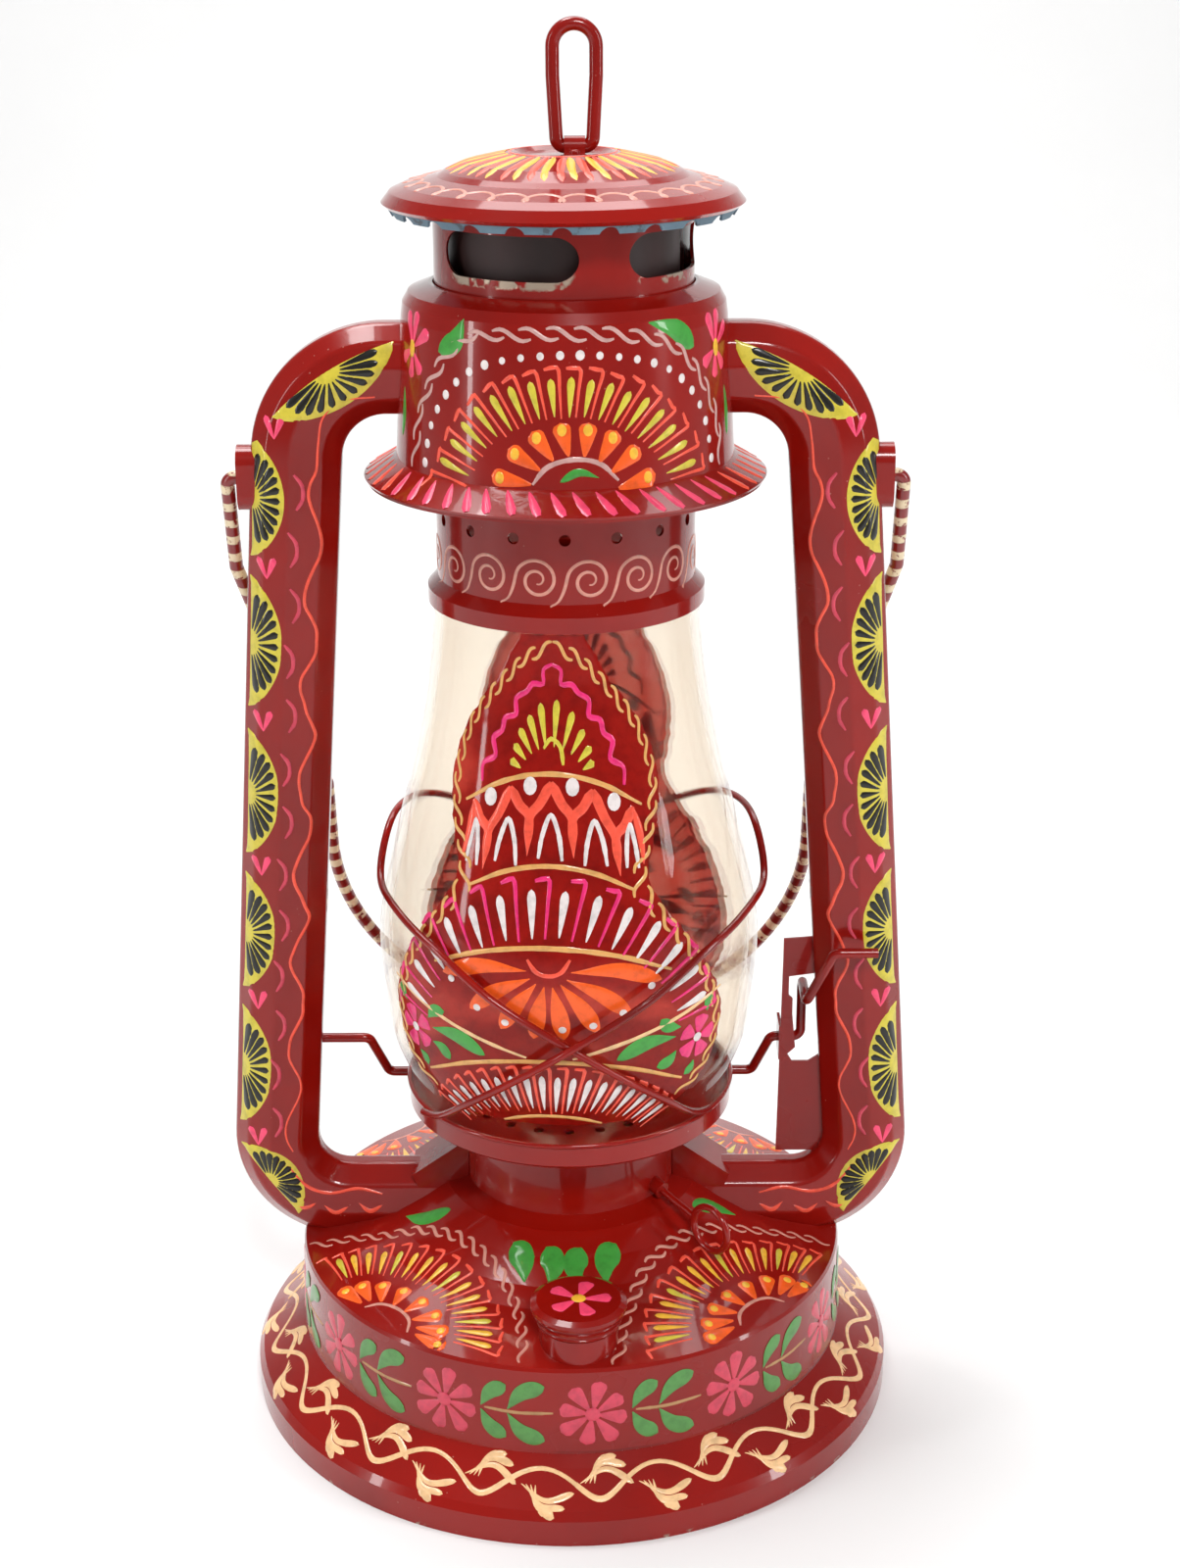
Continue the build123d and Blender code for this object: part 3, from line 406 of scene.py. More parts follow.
# The draught tube stands inside the chimney, out of the light: its two near-black reds are painted shade for
# that dark inside, mottled as soot.
def soot_and_shade_lacquer():
    soot_shade_finish = Finish("soot_and_shade_lacquer")
    soot = soot_shade_finish.grain(90, detail=4, stretch=(1, 1, 0.4))
    soot_shade_finish.set(Base_Color=soot_shade_finish.blend(soot, paint_colour(22, 12, 11), paint_colour(58, 16, 13)),
              Roughness=0.42 + soot * 0.25)
    soot_shade_finish.bump(soot, 0.00005)
    return soot_shade_finish.material


def floor_paper():
    paper = Finish("floor_paper")
    mottle = paper.grain(6, detail=3)
    paper.set(Base_Color=paper.blend(mottle, (0.83, 0.83, 0.83), (0.80, 0.80, 0.80)), Roughness=0.75)
    return paper.material


# %% [markdown]
# ## Dressing the frame
# Every carried-over node gets its finish by name. Smooth red pieces share a recipe, while the tank
# wall, burner collar, globe plate and lever plate get one with more of the greyer red, which is dust
# together with a painted sheen for the surroundings the tank wall reflects, and the wires, spindle, drum
# floor and tank bottom a darker one.

# %% Finishes onto nodes
def dress(material, *names):
    for name in names:
        piece = nodes[name]
        piece.data.materials.clear()
        piece.data.materials.append(material)


body_red = red_lacquer("red_lacquer")
dress(body_red, "drum_shell", "cap", "crown", "tank_dome", "top_ring", "ring_strap", "strap_rivets",
      "elbow_left", "elbow_right", "tube_left", "tube_right", "bail_ear_left", "bail_ear_right",
      "filler_cap", "filler_neck", "filler_boss")
dress(red_lacquer("red_lacquer_dust_sheen", dust_and_sheen=0.7, deep=0.25), "tank_wall", "burner_collar",
      "globe_plate", "lever_plate")
dress(red_lacquer("red_lacquer_deep", dust_and_sheen=0.35, deep=0.8), "guard_wire_left", "guard_wire_right",
      "lift_wire", "wick_spindle", "spindle_bush", "drum_floor", "tank_bottom")
dress(red_lacquer("red_lacquer_windows", deep=0.55, wear=window_edges), "chimney_neck")
dress(red_lacquer("red_lacquer_horns", dust_and_sheen=0.4, wear=horn_tips), "horn_left", "horn_right")
dress(red_lacquer("red_lacquer_foot", dust_and_sheen=0.3, wear=foot_scrapes), "base_skirt")
dress(globe_glass(), "globe")
dress(tinned_steel("bare_steel", paint_colour(196, 188, 172), (1, 1, 0.1)), "burner_cone",
      "burner_base", "wick_tube")
dress(tinned_steel("spring_steel", paint_colour(150, 152, 156), (0.1, 1, 1)), "chimney_spring")
dress(soot_and_shade_lacquer(), "draught_tube")
dress(wick_cotton(), "wick")
dress(cork_gasket(), "filler_gasket")
dress(chalk_paint(), "cap_underplate")
floor.data.materials.append(floor_paper())
plain = [n for n, o in nodes.items() if not o.data.materials or n == "bail"]
print("dressed", len(nodes) - len(plain), "nodes; still to dress:", plain)

# %% [markdown]
# ## A bail in two colours
# The carrying bail is wrapped in paint bands, cream between red, like a twisted cord. The bands are
# a saw of the distance along the wire. Down the straight sides that distance is the height, and
# round the bow it is the angle, so the mask switches between them where the sides end.

# %% Striped bail
def striped_bail():
    stripes = Finish("bail_stripes")
    x, y, z = stripes.axes()
    lean = math.radians(17.6)
    ear = Vector((0, 0, (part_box("bail_ear_left")[0].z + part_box("bail_ear_left")[1].z) / 2))
    down = (y - ear.y) * math.sin(lean) - (z - ear.z) * math.cos(lean)
    bow_start = 0.106
    angle = (down - bow_start)._math("ARCTAN2", down - bow_start, x.wave("ABSOLUTE"))
    straight = down.rise(bow_start + 0.0005, bow_start - 0.0005)
    length = down * straight + (bow_start + angle * 0.06) * (1 - straight)
    saw = (length / 0.0046 + stripes.grain(60) * 0.35).wave("FRACT")
    band = saw.rise(0.46, 0.54) * saw.rise(0.99, 0.93)
    worn = stripes.grain(600, detail=3).rise(0.34, 0.46)
    colour = stripes.blend(band * worn, paint_colour(126, 18, 17), paint_colour(226, 206, 170))
    stripes.set(Base_Color=colour, Roughness=0.3 + band * 0.12, Coat_Weight=0.5, Coat_Roughness=0.08)
    stripes.bump(band * worn, 0.00012)
    return stripes.material


dress(striped_bail(), "bail")

# %% [markdown]
# ## Painting: how a brush stroke is made
# A stroke is a line with a width along it, laid on a flat pattern in millimetres and then wrapped on
# the metal. Wrapping is a ray: each point of the pattern is sent at the lamp, in towards the axis for
# the round pieces, straight down for the cap and the tank's shoulder, and straight back for the
# tubes, and it stops on the metal. That keeps every stroke on the real surface, however it bends.

# %% Canvases: ways to wrap a pattern on a piece
def piece_tree(*names):
    verts, faces = [], []
    for name in names:
        mesh = nodes[name].data
        start = len(verts)
        verts += [v.co.copy() for v in mesh.vertices]
        faces += [[start + i for i in p.vertices] for p in mesh.polygons]
    return BVHTree.FromPolygons(verts, faces)


class Canvas:
    """One painted face: where a pattern point (across, up) in mm lands, and which way is out."""

    def __init__(self, body, names, aim):
        self.body, self.tree, self.aim = body, piece_tree(*names), aim
        self.missed = 0

    def point(self, across, up):
        origin, direction = self.aim(across, up)
        place, normal, _, _ = self.tree.ray_cast(origin, direction)
        if place is None:
            self.missed += 1
            return None, None
        return place, -normal if normal.dot(direction) > 0 else normal


def round_aim(turn, radius):
    """In towards the axis: across is an arc at that radius, up is the height."""
    def aim(across, up):
        heading = math.radians(turn) + across / radius
        outward = Vector((math.sin(heading), -math.cos(heading), 0))
        return outward * 0.2 + Vector((0, 0, up * MM)), -outward
    return aim


def top_aim(turn, at_angle=0.0, at_radius=0.0, spin=0.0):
    """Straight down: across and up lie flat, from a point of the lamp's plan, up towards the axis."""
    heading = math.radians(turn + at_angle)
    centre = Vector((math.sin(heading), -math.cos(heading), 0)) * at_radius * MM
    lean = heading + math.radians(spin)
    right = Vector((math.cos(lean), math.sin(lean), 0))
    inward = Vector((-math.sin(lean), math.cos(lean), 0))

    def aim(across, up):
        return centre + (right * across + inward * up) * MM + Vector((0, 0, 0.5)), Vector((0, 0, -1))
    return aim


def side_aim(facing, hand):
    """Straight back at a tube: across is the distance from the lamp's middle, up is the height."""
    def aim(across, up):
        return Vector((hand * across * MM, -facing * 0.2, up * MM)), Vector((0, facing, 0))
    return aim


# %% [markdown]
# Each stroke becomes a strip with a rounded section, five points wide, that sinks just into the
# lacquer at its edges. All the strokes of one colour on one body become one mesh, which keeps the
# lamp to a few pieces, and the height of a layer lets a second colour lie over a first.

# %% The paint pot: strokes into meshes
SKIN = 0.00004
pots = {}


def pot(colour, canvas):
    return pots.setdefault((colour, canvas.body), ([], []))


def wobble(seed, amount):
    return (noise.noise(Vector((seed * 1.37, seed * 0.71, 4.2))) * amount)


def stroke(canvas, colour, line, widths, layer=0, thick=0.16, across=5):
    """line is points in mm and widths the full width at each; the ends close to their own width."""
    verts, faces = pot(colour, canvas)
    base = layer * 0.00014
    count = len(line)
    rows = []
    for i, (u, v) in enumerate(line):
        before, after = line[max(i - 1, 0)], line[min(i + 1, count - 1)]
        du, dv = after[0] - before[0], after[1] - before[1]
        size = math.hypot(du, dv) or 1.0
        nu, nv = -dv / size, du / size
        half = max(widths[i], 0.05) / 2
        row = []
        for j in range(across):
            side = 2 * j / (across - 1) - 1
            place, normal = canvas.point(u + nu * half * side, v + nv * half * side)
            if place is None:
                break
            crown = (1 - side * side) ** 0.5
            raised = thick * MM * crown * min(1.0, widths[i] / 0.9) if crown else base * 0.2 - SKIN
            row.append(place + normal * (base + raised))
        if len(row) == across:
            rows.append((i, len(verts)))
            verts += row
    for (i, a), (k, b) in zip(rows, rows[1:]):
        if k == i + 1:
            faces += [(a + j, a + j + 1, b + j + 1, b + j) for j in range(across - 1)]


def smooth_line(points, step=0.8):
    """A flowing line through a few points, as a brush draws it."""
    pts = [Vector((p[0], p[1])) for p in points]
    ends = [pts[0] * 2 - pts[1], *pts, pts[-1] * 2 - pts[-2]]
    out = []
    for i in range(1, len(ends) - 2):
        p0, p1, p2, p3 = ends[i - 1:i + 3]
        pieces = max(2, int((p2 - p1).length / step))
        for k in range(pieces):
            t = k / pieces
            out.append(0.5 * ((2 * p1) + (p2 - p0) * t + (2 * p0 - 5 * p1 + 4 * p2 - p3) * t * t
                              + (3 * p1 - p0 - 3 * p2 + p3) * t ** 3))
    out.append(pts[-1])
    return [(p.x, p.y) for p in out]


def shares(line):
    """How far along the line each point is, from 0 to 1."""
    lengths = [0.0]
    for a, b in zip(line, line[1:]):
        lengths.append(lengths[-1] + math.hypot(b[0] - a[0], b[1] - a[1]))
    return [s / (lengths[-1] or 1.0) for s in lengths]


# %% [markdown]
# ## The painter's alphabet
# Folk enamel work is made from a handful of strokes, repeated quickly: a plain line, a drop that
# swells and tapers, a hook with a little flag, a dot, a leaf, a petal. With those few, every fan,
# chain and flower on the lamp can be written.

# %% Single strokes
def plain_line(canvas, colour, points, width=0.9, layer=0):
    line = smooth_line(points)
    ts = shares(line)
    widths = [width * (0.55 + 0.45 * min(1.0, 6 * t, 6 * (1 - t))) * (1 + wobble(t * 9 + points[0][0], 0.25))
              for t in ts]
    stroke(canvas, colour, line, widths, layer)


def drop(canvas, colour, blunt, tip, width, layer=0, bend=0.0, across=5):
    """A drop: round at the first point, drawn out to nothing at the second."""
    bu, bv = blunt
    tu, tv = tip
    mu, mv = (bu + tu) / 2 - (tv - bv) * bend, (bv + tv) / 2 + (tu - bu) * bend
    line = smooth_line([(bu, bv), (mu, mv), (tu, tv)], step=0.5)
    widths = []
    for t in shares(line):
        head = math.sqrt(max(0.0, 1 - (1 - min(1.0, t / 0.22)) ** 2))
        tail = (1 - max(0.0, (t - 0.22) / 0.78)) ** 0.8
        widths.append(width * head * (0.12 + 0.88 * tail))
    stroke(canvas, colour, line, widths, layer, across=across)


def hook(canvas, colour, head, foot, flag, width=0.85, layer=0):
    """A stem from head to foot with a flag at the head; flag is the step to the flag's end."""
    hu, hv = head
    fu, fv = foot
    line = smooth_line([(hu + flag[0], hv + flag[1]), (hu + flag[0] * 0.35, hv + flag[1] * 0.1 + 0.25),
                        (hu, hv - 0.3 if hv > fv else hv + 0.3),
                        (hu + (fu - hu) * 0.45, hv + (fv - hv) * 0.45), (fu, fv)], step=0.6)
    widths = [width * (1.0 - 0.62 * t) * (0.6 + 0.4 * min(1.0, 9 * t)) for t in shares(line)]
    stroke(canvas, colour, line, widths, layer)


def dot(canvas, colour, centre, radius, layer=0, tall=1.0):
    """A round blob, laid as a short fat stroke."""
    u, v = centre
    steps = 7
    line = [(u, v + radius * tall * math.cos(math.pi * i / (steps - 1))) for i in range(steps)]
    widths = [2 * radius * math.sin(math.pi * i / (steps - 1)) for i in range(steps)]
    stroke(canvas, colour, line, widths, layer, across=7)


def leaf(canvas, colour, stem, tip, width, layer=0, bend=0.15, blunt=0.6, across=7):
    """A leaf from its stem to its tip; blunt is how far along its fattest part lies."""
    su, sv = stem
    tu, tv = tip
    mu, mv = (su + tu) / 2 - (tv - sv) * bend, (sv + tv) / 2 + (tu - su) * bend
    line = smooth_line([(su, sv), (mu, mv), (tu, tv)], step=0.7)
    widths = []
    for t in shares(line):
        share = t / blunt if t < blunt else (1 - t) / (1 - blunt)
        widths.append(width * (0.06 + 0.94 * math.sin(share * math.pi / 2) ** (1.1 if t < blunt else 0.6)))
    stroke(canvas, colour, line, widths, layer, across=across)


# %% Chains, fans and flowers
def walk(points, step):
    """Evenly spaced places along a line, each with its direction."""
    line = smooth_line(points, step=0.5)
    lengths = shares(line)
    total = sum(math.hypot(b[0] - a[0], b[1] - a[1]) for a, b in zip(line, line[1:]))
    count = max(1, round(total / step))
    out = []
    for k in range(count + 1):
        t = k / count
        i = max(1, next((n for n, s in enumerate(lengths) if s >= t - 1e-9), len(line) - 1))
        a, b = line[i - 1], line[i]
        size = math.hypot(b[0] - a[0], b[1] - a[1]) or 1.0
        gap = lengths[i] - lengths[i - 1] or 1.0
        share = (t - lengths[i - 1]) / gap
        out.append((a[0] + (b[0] - a[0]) * share, a[1] + (b[1] - a[1]) * share,
                    (b[0] - a[0]) / size, (b[1] - a[1]) / size))
    return out


def chain(canvas, colour, points, link=4.6, swing=0.95, width=0.75, layer=0, hand=1):
    """Overlapping S strokes that step along a line, each from one side of it to the other."""
    for k, (u, v, du, dv) in enumerate(walk(points, link)[:-1]):
        size = 1 + wobble(k + u, 0.2)
        line = []
        for i in range(11):
            t = i / 10
            along = (t - 0.15) * link * 1.42
            off = hand * swing * size * math.cos(math.pi * min(1, max(0, (t - 0.12) / 0.76)))
            off += hand * swing * 0.35 * math.sin(2 * math.pi * t)
            line.append((u + du * along - dv * off, v + dv * along + du * off))
        widths = [width * (0.5 + 0.5 * math.sin(math.pi * i / 10) ** 0.5) for i in range(11)]
        stroke(canvas, colour, line, widths, layer)


def fan_point(centre, angle, reach, tall=1.0):
    a = math.radians(angle)
    return centre[0] + reach * math.sin(a), centre[1] + reach * math.cos(a) * tall


def flower(canvas, petals, centre, reach, colour, heart, heart_size=1.1, turn=0.0, width=None, layer=0,
           tall=1.0):
    """Petals drawn as drops, round end out, about a dot."""
    width = width or reach * 1.9 / petals * 1.25
    for k in range(petals):
        angle = turn + 360 * k / petals + wobble(k + centre[0], 6)
        size = reach * (1 + wobble(k * 2.3 + centre[1], 0.16))
        outer = fan_point(centre, angle, size, tall)
        drop(canvas, colour, outer, fan_point(centre, angle, reach * 0.16, tall), width, layer, across=5)
    dot(canvas, heart, centre, heart_size, layer + 1, tall)


# %% [markdown]
# ## Enamel colours
# The enamels are opaque, brushed on thick, and slightly uneven: a stroke is paler where the load was
# thin. They are as glossy as the lacquer, since the whole lamp was varnished after painting.

# %% Enamel finishes
ENAMELS = {
    "coral": paint_colour(238, 84, 62),
    "orange": paint_colour(240, 92, 26),
    "magenta": paint_colour(226, 40, 112),
    "pink": paint_colour(238, 70, 110),
    "rose": paint_colour(206, 66, 88),
    "white": paint_colour(224, 214, 212),
    "cream": paint_colour(233, 190, 140),
    "gold": paint_colour(216, 160, 92),
    "peach": paint_colour(206, 142, 126),
    "mauve": paint_colour(196, 152, 146),
    "lime": paint_colour(206, 190, 62),
    "yellow": paint_colour(236, 182, 56),
    "green": paint_colour(62, 150, 58),
    "sage": paint_colour(84, 142, 72),
    "stem": paint_colour(176, 134, 92),
    "black": paint_colour(22, 20, 16),
    "panel_red": paint_colour(168, 22, 14),
}


def enamel(name, colour):
    paint = Finish("enamel_" + name)
    load = paint.grain(420, detail=3)
    fleck = paint.grain(1400, detail=1, shift=(0.3, 0.6, 0.1)).rise(0.6, 0.72)
    deeper = tuple(c * 0.82 for c in colour)
    paler = tuple(min(1.0, c * 1.06) for c in colour)
    mixed = paint.blend(load.rise(0.25, 0.6), deeper, paler)
    mixed = paint.blend(fleck * 0.12, mixed, tuple(c * 0.5 for c in colour))
    paint.set(Base_Color=mixed, Roughness=0.28 + load * 0.16, Coat_Weight=0.45, Coat_Roughness=0.06,
              Specular_IOR_Level=0.25)
    if name == "panel_red":
        paint.set(Transmission_Weight=0.55, IOR=1.1, Roughness=0.5)
    paint.bump(load, 0.00005)
    return paint.material


enamel_finish = {name: enamel(name, colour) for name, colour in ENAMELS.items()}
print("enamels", sorted(enamel_finish))

# %% [markdown]
# ## The globe's painted panels
# The glass carries a pear-shaped red panel front and back, with clear glass left at the sides so the
# flame shows. The panel is laid first as a filled field that follows the glass, with a wavy gold
# chain round its edge, and the fans, crown and petals are painted over it in bands from the top.

# %% Globe: the red field
globe_middle_radius = 42.0
PEAR = [(202, 13.5), (197, 18.5), (192, 23), (187, 30), (181, 36.5), (174, 40.5), (167, 41), (160, 38.5),
        (154, 35), (149, 32.5), (145, 33), (140, 37), (134, 42.5), (127, 49), (119, 54), (111, 57.5),
        (104, 57), (98, 53), (92, 46), (87, 39)]


def pear_edge(height, inset=0.0):
    """Half width of the panel in degrees at a height in mm, inset by millimetres."""
    line = PEAR[::-1]
    for (z0, w0), (z1, w1) in zip(line, line[1:]):
        if height <= z1:
            share = max(0.0, (height - z0) / (z1 - z0))
            share = share * share * (3 - 2 * share) * 0.5 + share * 0.5
            return w0 + (w1 - w0) * share - inset / 0.73
    return line[-1][1] - inset / 0.73


def degrees_out(across):
    return across * math.pi / 180 * globe_middle_radius


def pear_field(canvas):
    verts, faces = pot("panel_red", canvas)
    start = len(verts)
    rows, columns = 96, 40
    for r in range(rows + 1):
        height = 87 + (202.5 - 87) * r / rows
        edge = pear_edge(height) + wobble(height * 0.31, 1.0)
        for c in range(columns + 1):
            side = 2 * c / columns - 1
            place, normal = canvas.point(degrees_out(edge * side), height)
            verts.append(place + normal * (0.00006 if abs(side) < 1 else -SKIN))
    for r in range(rows):
        for c in range(columns):
            a = start + r * (columns + 1) + c
            faces.append((a, a + 1, a + columns + 2, a + columns + 1))


# %% Globe: bands of the panel
def arc_line(centre_u, top, half, sag):
    """A shallow arch: its middle at top, its ends half a width out and lower by sag."""
    return [(centre_u + half * s, top - sag * s * s) for s in (-1, -0.6, -0.2, 0.2, 0.6, 1)]


def paint_globe(canvas):
    pear_field(canvas)
    for hand in (-1, 1):
        edge = [(hand * 0.8, 199.8), (hand * 6, 198.0), (hand * 11, 194.8)]
        edge += [(hand * degrees_out(pear_edge(z, 2.2)), z) for z in
                (189.5, 182, 173, 165, 158, 152, 147, 142, 135, 127, 119, 111, 104, 98, 92)]
        chain(canvas, "gold", edge, link=4.9, swing=1.0, width=0.95, layer=1, hand=hand)
    u = 1.4

    arch = [(0, 196), (2.6, 191.6), (7.6, 189.6), (10.6, 184.4), (14.6, 180.4), (16.2, 174.6), (19.6, 168.4)]
    for hand in (-1, 1):
        line = []
        for (a0, z0), (a1, z1) in zip(arch, arch[1:]):
            bulge = 0.30
            line += [(hand * a0, z0), (hand * ((a0 + a1) / 2 + (z0 - z1) * bulge), (z0 + z1) / 2 + 0.9)]
        line.append((hand * arch[-1][0], arch[-1][1]))
        plain_line(canvas, "magenta", line, width=1.35, layer=1)
    for k, angle in enumerate((-62, -48, -35, -22, -10, 4, 19, 34, 49, 62)):
        reach = 20.5 - abs(angle) * 0.12 + wobble(k, 0.8)
        drop(canvas, "lime", fan_point((0, 168), angle, reach), fan_point((0, 168), angle, 9.6),
             2.0, layer=1)
    plain_line(canvas, "lime", [(-2.2, 177.2), (-0.2, 179.4), (2.4, 177.6), (3.2, 173.6)], 1.1, 1)
    plain_line(canvas, "gold", arc_line(0, 171.6, 24, 8.0), 1.15, 1)

    peaks = [(-21.5, 164.0), (-11.0, 168.2), (0, 169.8), (11.0, 168.0), (21.5, 163.4)]
    for k, (left, right) in enumerate(zip(peaks, peaks[1:])):
        low = ((left[0] + right[0]) / 2, min(left[1], right[1]) - 6.6)
        foot = (low[0] * 1.03, low[1] - 8.2)
        for top in (left, right):
            line = smooth_line([top, ((top[0] + low[0]) / 2, (top[1] + low[1]) / 2 - 0.5), low, foot])
            stroke(canvas, "coral", line, [(2.7 - 1.0 * t) * min(1.0, 0.35 + 6 * t, 0.1 + 3.2 * (1 - t))
                                           for t in shares(line)], 1)
    for hand, (pu, pv) in ((-1, peaks[0]), (1, peaks[-1])):
        leaf(canvas, "coral", (pu, pv), (pu + hand * 1.4, pv - 13), 2.0, 1, bend=0.04, blunt=0.35)
    for du, dz in ((-16.4, 165.6), (-5.6, 169.0), (5.6, 169.0), (16.4, 165.2)):
        dot(canvas, "white", (du, dz - 0.2), 1.8, 2, tall=1.15)
    for du, spread in ((-20.0, 1.5), (-11.0, 2.7), (0, 2.9), (11.0, 2.7), (20.0, 1.5)):
        top = 162.6 - abs(du) * 0.14
        plain_line(canvas, "white", [(du - spread, top - 9.6), (du - spread * 0.7, top - 4.5), (du, top),
                                     (du + spread * 0.7, top - 4.2), (du + spread, top - 10)], 1.15, 1)
    plain_line(canvas, "gold", arc_line(0, 151.4, 19.5, 6.0), 1.1, 1)

    heart = (0, 105)
    for k in range(15):
        angle = -77 + 11 * k
        outer = 43.2 + wobble(k * 1.7, 1.2) - 3.0 * math.sin(math.radians(abs(angle))) ** 3
        inner = 30.2 + wobble(k * 2.9, 0.8)
        top = fan_point(heart, angle, outer)
        side = fan_point((0, 0), angle - 90, 3.4)
        hook(canvas, "magenta", top, fan_point(heart, angle - 1.5, inner), (side[0], side[1] - 0.3),
             1.25, 1)
        if k < 14:
            drop(canvas, "white", fan_point(heart, angle + 5.2, outer - 2.2),
                 fan_point(heart, angle + 4.2, inner + 0.4), 2.05, 1)
    plain_line(canvas, "gold", arc_line(0, 133.3, 27, 7.4), 1.15, 1)

    top_arch = [(-4.6, 130.6), (-2.6, 127.8), (0, 127.0), (2.6, 127.8), (4.6, 130.8)]
    plain_line(canvas, "coral", top_arch, 1.0, 1)
    for angle in (-73, -51, -31, -10, 10, 31, 51, 73):
        length = 16.6 + 7.4 * (abs(angle) / 73) ** 1.6
        foot = fan_point((0, 129.4), 180 - angle, 5.0)
        tip = fan_point((0, 129.4), 180 - angle, length + 1.6)
        leaf(canvas, "orange", foot, (tip[0], tip[1] + abs(angle) * 0.03), 3.8, 1,
             bend=0.0012 * angle, blunt=0.68)
        dot(canvas, "white", (tip[0] * 0.9, 129.4 + (tip[1] - 129.4) * 0.84), 0.85, 2)

    for hand in (-1, 1):
        plain_line(canvas, "cream", [(hand * 41, 117.6), (hand * 26, 112.6), (hand * 5, 106.2)], 1.0, 1)
        flower(canvas, 5, (hand * 34.5, 106.4), 5.4, "magenta", "white", 1.15, turn=hand * 14,
               width=4.3, layer=1)
        leaf(canvas, "green", (hand * 28.4, 108.4), (hand * 14.6, 105.2), 4.0, 1, bend=-0.12 * hand)
        leaf(canvas, "green", (hand * 29.6, 110.6), (hand * 24.4, 114.0), 3.2, 1)
        leaf(canvas, "green", (hand * 37.0, 112.4), (hand * 38.6, 116.6), 2.7, 1)
        leaf(canvas, "green", (hand * 28.8, 104.6), (hand * 24.0, 101.4), 3.1, 1)
        leaf(canvas, "green", (hand * 34.0, 100.4), (hand * 31.6, 97.2), 2.5, 1)
    plain_line(canvas, "gold", arc_line(0, 105.4, 31, 8.8), 1.1, 1)

    for k in range(19):
        angle = -54 + 6 * k
        outer = 36.0 + abs(angle) * 0.03
        inner = 23.0 + abs(angle) * 0.09
        side = fan_point((0, 0), angle - 90, 2.2)
        hook(canvas, "coral", fan_point((0, 67.5), angle, outer), fan_point((0, 67.5), angle, inner),
             (side[0], side[1]), 1.0, 1)
        if k < 18:
            drop(canvas, "white", fan_point((0, 67.5), angle + 3, outer - 2),
                 fan_point((0, 67.5), angle + 2.6, inner + 1), 1.5, 1)
    plain_line(canvas, "gold", arc_line(0, 90.0, 12, 2.8), 1.0, 1)


globe_front = Canvas("globe_carriage", ["globe"], round_aim(-5.5, globe_middle_radius))
globe_back = Canvas("globe_carriage", ["globe"], round_aim(176.0, globe_middle_radius))
for side in (globe_front, globe_back):
    paint_globe(side)
print("globe panels painted, missed", globe_front.missed, globe_back.missed)

# %% [markdown]
# ## Drum and brim
# The drum's fan is a half sunburst: hooks and drops stand round a row of orange drops with yellow
# hearts, under a row of dots and a chain. Flowers and leaves fill the corners, and short pink
# strokes run all round the brim.

# %% Drum fan
drum_radius = 37.5


def paint_drum(canvas):
    chain(canvas, "mauve", [(-39, 238.6), (-37.6, 248), (-33.4, 256.2), (-28.6, 262.4), (-22, 267.2),
                            (-11, 268.9), (0, 269.3), (11, 268.9), (22, 266.8), (30, 262.2), (36, 255.6),
                            (40, 248.6), (42, 239)], link=6.2, swing=1.05, width=1.05)
    for u, v, _, _ in walk([(-34.6, 239.4), (-33, 247), (-28.4, 254.6), (-21, 260.9), (-11, 264),
                            (2, 265), (14, 264), (24, 261), (31.4, 255.2), (36, 247.6), (37.6, 239.6)], 4.4):
        dot(canvas, "white", (u, v), 0.95 + wobble(u + v, 0.3))
    centre = (1.4, 233.6)
    for k in range(18):
        angle = -82 + 164 / 17 * k
        level = math.cos(math.radians(angle))
        reach = 34.4 - 6.0 * level + wobble(k * 1.3, 0.9)
        inner = 23.6 - 5.4 * level + wobble(k * 2.1, 0.8)
        side = fan_point((0, 0), angle - 90, 3.2)
        hook(canvas, "coral", fan_point(centre, angle, reach), fan_point(centre, angle - 1, inner),
             (side[0], side[1]), 1.15)
        if k < 17:
            drop(canvas, "lime", fan_point(centre, angle + 5.6, reach - 1.8),
                 fan_point(centre, angle + 4.4, inner + 0.2), 1.9)
    for k in range(8):
        angle = -78 + 22.4 * k
        level = math.cos(math.radians(angle))
        outer = fan_point((2.2, 235.4), angle, 19.0 - 3.2 * level)
        inner = fan_point((2.2, 235.4), angle + 3, 9.6 - 1.0 * level)
        drop(canvas, "orange", outer, inner, 4.3, across=7)
        heart = (outer[0] * 0.78 + inner[0] * 0.22, outer[1] * 0.78 + inner[1] * 0.22)
        dot(canvas, "yellow", heart, 1.05, 1, tall=1.25)
    plain_line(canvas, "mauve", [(-6.6, 237.8), (-3.4, 241.6), (2, 243.2), (7.6, 242.2), (11.6, 238.4)], 1.2)
    leaf(canvas, "green", (7.4, 239.2), (-0.8, 238.4), 2.0, bend=-0.2)
    leaf(canvas, "green", (-23.4, 271.4), (-30.6, 263.8), 5.4, bend=0.16)
    leaf(canvas, "green", (19.6, 270.8), (32.4, 264.4), 5.2, bend=0.10, blunt=0.7)
    for hand in (-1, 1):
        for petal in (-22, 12, 58, 140, 186, -118):
            tip = fan_point((hand * 41.5, 263), petal, 8.4 if abs(petal) < 60 else 6.6)
            drop(canvas, "pink", tip, fan_point((hand * 41.5, 263), petal, 0.9), 3.3)
        dot(canvas, "yellow", (hand * 41.5, 263), 1.3, 1, tall=1.5)
        leaf(canvas, "green", (hand * 46.0, 254), (hand * 46.6, 243), 2.6, bend=0.05)


